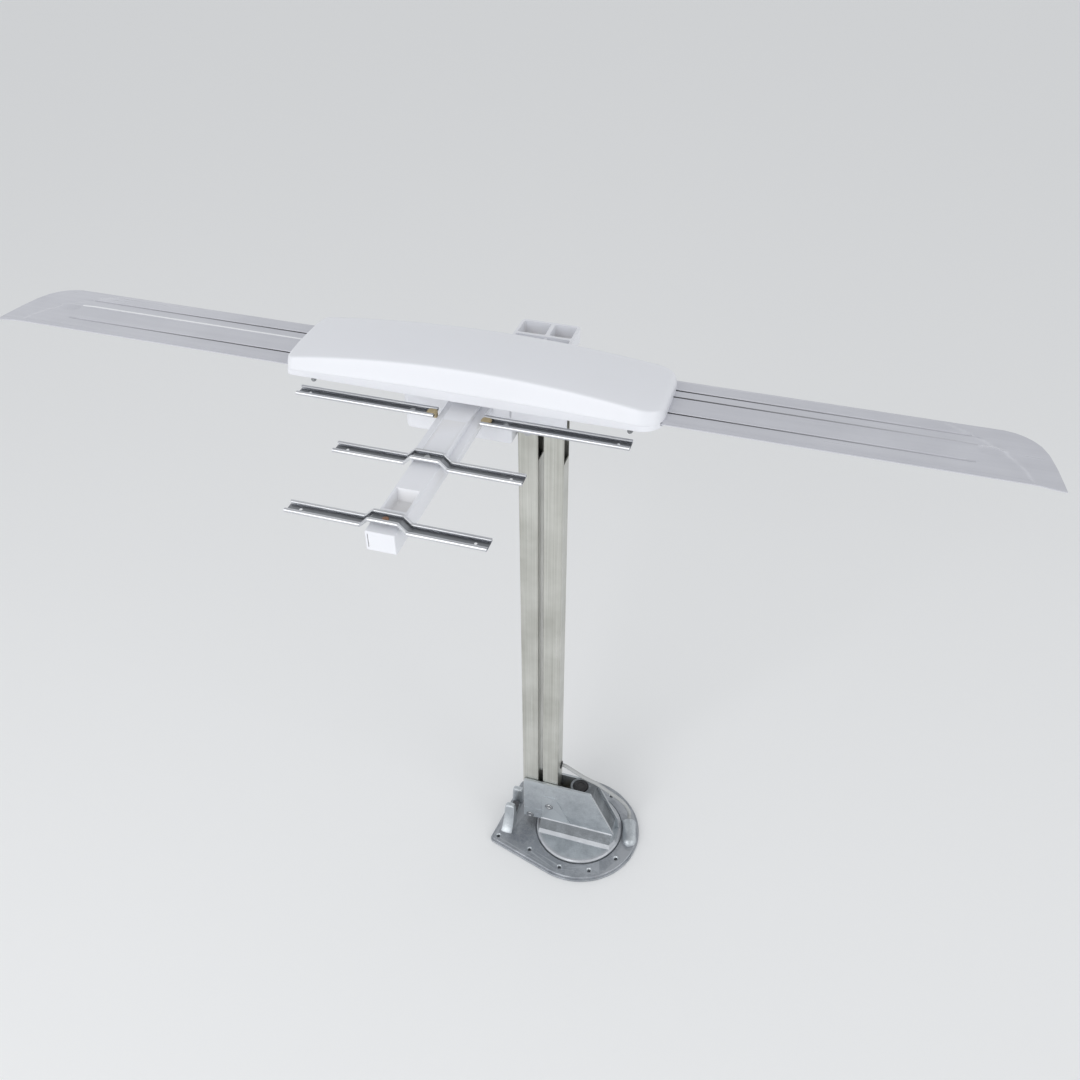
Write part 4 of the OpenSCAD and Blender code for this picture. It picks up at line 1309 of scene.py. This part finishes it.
def build_boom(context, s):
    """White boom with flanges, raised panel, ridges, pocket and end."""
    low, high = node_box("booster_boom")
    centre = (low.x + high.x) / 2
    top = 820.0
    back = high.y
    front = low.y
    step = -158.0
    white = white_material()
    bm = bmesh.new()
    wide = (high.x - low.x) / 2
    floor = low.z
    flange = [(-wide + 1.6, 804), (wide - 1.6, 804), (wide, 806), (wide, 812.5), (wide - 1.0, 814),
              (wide - 8.0, 815), (-wide + 8.0, 815), (-wide + 1.0, 814), (-wide, 812.5), (-wide, 806)]
    rings = [[Vector((centre + a, y, b)) for a, b in flange] for y in (back, step + 9)]
    rings.append([Vector((centre + a * 0.80, step + 1.5, b)) for a, b in flange])
    rings.append([Vector((centre + a * 0.62, step, b)) for a, b in flange])
    loft(bm, rings)
    boom = make_object("boom_moulding", bm, [white])
    bm = bmesh.new()
    half = 16.0
    panel = [(-half, floor), (half, floor), (half, top - 2), (half - 0.6, top - 0.6), (half - 2, top),
             (-half + 2, top), (-half + 0.6, top - 0.6), (-half, top - 2)]
    prism_rings = [[Vector((centre + a, y, b)) for a, b in panel] for y in (back, front + 0.8)]
    prism_rings.append([Vector((centre + a * 0.96, front, 808.0 + (b - 808.0) * 0.96)) for a, b in panel])
    loft(bm, prism_rings)
    combine(boom, bm, "UNION")
    bm = bmesh.new()
    for side in (-1, 1):
        ridge = [(13.0, top - 0.6), (13.6, top + 0.8), (15.0, top + 0.8), (16.0, top - 0.6)]
        prism(bm, [(centre + side * a, z) for a, z in ridge], step + 2, -82, "Y")
    combine(boom, bm, "UNION")
    bm = bmesh.new()
    block(bm, (centre - 13.5, front + 2.5, floor - 4), (centre + 13.5, back - 2.5, 808))
    block(bm, (centre - 13.6, front - 1, 799.5), (centre - 12.6, front + 1.6, 816.5))
    combine(boom, bm)
    bm = bmesh.new()
    mouth = [(centre + a, b) for a, b in ((-12.6, -215.5), (12.6, -215.5), (12.6, -252), (-12.6, -252))]
    bottom = [(centre + a * 0.92, b) for a, b in ((-10.6, -223), (9.0, -223), (9.0, -250), (-10.6, -250))]
    stack(bm, [(bottom, 809.5), (mouth, top + 0.1), (mouth, top + 5)])
    combine(boom, bm)
    bm = bmesh.new()
    for y in (MIDDLE_Y, FRONT_Y):
        turned(bm, [(0, 790), (2.05, 800), (2.05, 830), (0, 830)], (centre, y, 0), steps=24)
    combine(boom, bm)
    round_edges(boom, 0.35, 42.0, 2)
    shade(boom)
    hand_over(boom, "head", ["booster_boom"])
    return centre


def build_booster(context):
    """Boom, elements, insulators and rivets."""
    s = context.scene.antenna_booster
    centre = build_boom(context, s)
    metal = streaked_metal("rolled bright metal", tint(s.bright), tint(s.bright_dark), (6.0, 500.0, 500.0))
    painted_shade = streaked_metal("dull trough", tint(s.trough), tint(s.trough, 0.7), (6.0, 300.0, 300.0), 0.8)
    hole = mm(s.hole)
    for name, y in (("middle", MIDDLE_Y), ("front", FRONT_Y)):
        line = hat_line(centre, 107.0, 17.0, 24.0, CHANNEL_Z, HAT_Z)
        holes = [(centre - 93.0, hole), (centre + 93.0, hole), (centre, 2.05)]
        build_element(name + "_channel", name + "_element", s, line, holes, y, [metal, painted_shade])
    for name, side in (("left", -1), ("right", 1)):
        line = [(centre + side * reach, CHANNEL_Z) for reach in (28.0, 120.0, 199.0)]
        holes = [(centre + side * 56.0, 2.05), (centre + side * 185.0, hole)]
        build_element("rear_channel_" + name, "rear_element_" + name, s, line, holes, REAR_Y, [metal, painted_shade])
    bm = bmesh.new()
    for side in (-1, 1):
        x0 = centre + side * 44.0
        outline = rounded([(x0 - 17, -68.5), (x0 + 17, -68.5), (x0 + 17, -63), (x0 - 17, -63)], 1.5, 4)
        stack(bm, [(outline, 810.0), (outline, 814.9)])
        x1 = centre + side * 32.5
        outline = rounded([(x1 - 6, -73.2), (x1 + 6, -73.2), (x1 + 6, -62.8), (x1 - 6, -62.8)], 3.0, 5)
        small = [((x - x1) * 0.8 + x1, (y - REAR_Y) * 0.8 + REAR_Y) for x, y in outline]
        stack(bm, [(outline, 816.1), (outline, 817.8), (small, 819.4)])
    tan = moulding("tan insulator", tint(s.tan), tint(s.tan, 0.6))
    blocks = make_object("insulator_blocks", bm, [tan], 0.6, 50.0)
    shade(blocks)
    hand_over(blocks, "head", ["element_insulators"])
    bm = bmesh.new()
    hat = HAT_Z + 1
    channel = CHANNEL_Z + 1
    for x, y, base, shank in ((centre, MIDDLE_Y, hat, 8.0), (centre, FRONT_Y, hat, 8.0),
                              (centre - 56, REAR_Y, channel, 1.0), (centre + 56, REAR_Y, channel, 1.0)):
        profile = [(0, base - shank), (2.0, base - shank), (2.0, base), (3.6, base), (3.5, base + 0.5),
                   (2.9, base + 1.1), (1.8, base + 1.6), (0, base + 1.8)]
        turned(bm, profile, (x, y, 0), steps=32)
    copper = streaked_metal("copper rivet", tint(s.copper), tint(s.copper, 0.55), (300.0, 300.0, 300.0))
    rivets = make_object("rivet_heads", bm, [steel_material(), copper])
    shade(rivets, 50)
    paint(rivets, 1, lambda c, n: c.y < -250)
    hand_over(rivets, "head", ["element_rivets"])


# Stage


def build_camera(context):
    """Camera at the photograph's viewing angle."""
    s = context.scene.antenna_stage
    data = bpy.data.cameras.new("photo_camera")
    data.lens = s.lens
    data.sensor_width = 36.0
    camera = bpy.data.objects.new("photo_camera", data)
    context.scene.collection.objects.link(camera)
    right = Vector((math.cos(s.azimuth), math.sin(s.azimuth), 0.0))
    level = Vector((-math.sin(s.azimuth), math.cos(s.azimuth), 0.0))
    forward = level * math.cos(s.look_down) - Vector((0, 0, 1)) * math.sin(s.look_down)
    up = right.cross(forward)
    turn = Matrix((right, up, -forward)).transposed().to_4x4()
    camera.matrix_world = Matrix.Translation((s.camera_x, s.camera_y, s.camera_z)) @ turn
    context.scene.camera = camera


def build_world(context):
    """World that is bright at the horizon and dimmer overhead."""
    s = context.scene.antenna_stage
    world = bpy.data.worlds.new("studio")
    context.scene.world = world
    world.use_nodes = True
    tree = world.node_tree
    background = tree.nodes["Background"]
    where = tree.nodes.new("ShaderNodeTexCoord")
    split = tree.nodes.new("ShaderNodeSeparateXYZ")
    tree.links.new(where.outputs["Generated"], split.inputs[0])
    level = remap(tree, split.outputs["Z"], 0.0, 0.9, s.horizon, s.zenith)
    background.inputs["Color"].default_value = (0.97, 0.985, 1.0, 1.0)
    tree.links.new(level, background.inputs["Strength"])


def add_lamp(name, location, target, size, power):
    """Square soft lamp that looks at a target."""
    data = bpy.data.lights.new(name, "AREA")
    data.shape = "SQUARE"
    data.size = size
    data.energy = power
    lamp = bpy.data.objects.new(name, data)
    bpy.context.scene.collection.objects.link(lamp)
    lamp.location = location
    lamp.rotation_euler = (Vector(target) - Vector(location)).to_track_quat("-Z", "Y").to_euler()


def build_stage(context):
    """Floor, lamps and world."""
    s = context.scene.antenna_stage
    context.scene.view_settings.view_transform = "Standard"
    bm = bmesh.new()
    outline = arc(0, 0, 14000, 0, 2 * math.pi * 63 / 64, 63)
    bm.faces.new([bm.verts.new((x, y, -0.2)) for x, y in outline])
    material, _, shader, _ = start_material("pale floor")
    shader.inputs["Base Color"].default_value = (*s.floor, 1.0)
    shader.inputs["Roughness"].default_value = 0.9
    shader.inputs["Specular IOR Level"].default_value = 0.1
    floor = make_object("studio_floor", bm, [material])
    add_lamp("key_lamp", (-0.9, -2.6, 1.9), (-0.1, 0.0, 0.6), 1.8, s.key)
    add_lamp("fill_lamp", (2.6, -1.2, 1.6), (0.0, 0.0, 0.6), 1.6, s.fill)
    build_world(context)


# Operators


def piece_operator(name, label, description, build):
    """Operator class that runs one of the build functions."""

    def execute(self, context):
        build(context)
        return {"FINISHED"}

    fields = {"__doc__": description, "bl_idname": "antenna." + name, "bl_label": label, "execute": execute}
    return type("ANTENNA_OT_" + name, (bpy.types.Operator,), fields)


OPERATORS = (
    piece_operator("camera", "Camera", "Place the camera", build_camera),
    piece_operator("coax", "Coax", "Build the coax between the mast and the hood", build_coax),
    piece_operator("base", "Roof plate", "Build the roof plate", build_base),
    piece_operator("turntable", "Turntable", "Build the turntable with its gear housing", build_turntable),
    piece_operator("mast", "Mast", "Build the two mast tubes", build_mast),
    piece_operator("head", "Head", "Build the white housing and its clip", build_housing),
    piece_operator("wings", "Wings", "Build the two sheet wings", build_wings),
    piece_operator("booster", "Booster", "Build the boom and its elements", build_booster),
    piece_operator("stage", "Stage", "Set up the floor, lamps and world", build_stage),
)

GROUPS = {
    "antenna_base": ANTENNA_PG_base,
    "antenna_turntable": ANTENNA_PG_turntable,
    "antenna_mast": ANTENNA_PG_mast,
    "antenna_head": ANTENNA_PG_head,
    "antenna_wings": ANTENNA_PG_wings,
    "antenna_booster": ANTENNA_PG_booster,
    "antenna_stage": ANTENNA_PG_stage,
}


class ANTENNA_PT_panel(bpy.types.Panel):
    """Buttons that build the antenna piece by piece"""

    bl_idname = "ANTENNA_PT_panel"
    bl_label = "Caravan TV antenna"
    bl_space_type = "VIEW_3D"
    bl_region_type = "UI"
    bl_category = "Antenna"

    def draw(self, context):
        for operator in OPERATORS:
            self.layout.operator(operator.bl_idname)


def register():
    """Registers the groups, operators and panel."""
    for name, group in GROUPS.items():
        bpy.utils.register_class(group)
        setattr(bpy.types.Scene, name, PointerProperty(type=group))
    for operator in OPERATORS:
        bpy.utils.register_class(operator)
    bpy.utils.register_class(ANTENNA_PT_panel)


def unregister():
    """Removes the panel, operators and groups."""
    bpy.utils.unregister_class(ANTENNA_PT_panel)
    for operator in reversed(OPERATORS):
        bpy.utils.unregister_class(operator)
    for name, group in GROUPS.items():
        delattr(bpy.types.Scene, name)
        bpy.utils.unregister_class(group)


def main():
    """Builds the scene."""
    register()
    bpy.ops.antenna.camera()
    bpy.ops.antenna.coax()
    bpy.ops.antenna.base()
    bpy.ops.antenna.turntable()
    bpy.ops.antenna.mast()
    bpy.ops.antenna.head()
    bpy.ops.antenna.wings()
    bpy.ops.antenna.booster()
    bpy.ops.antenna.stage()


if __name__ == "__main__":
    main()
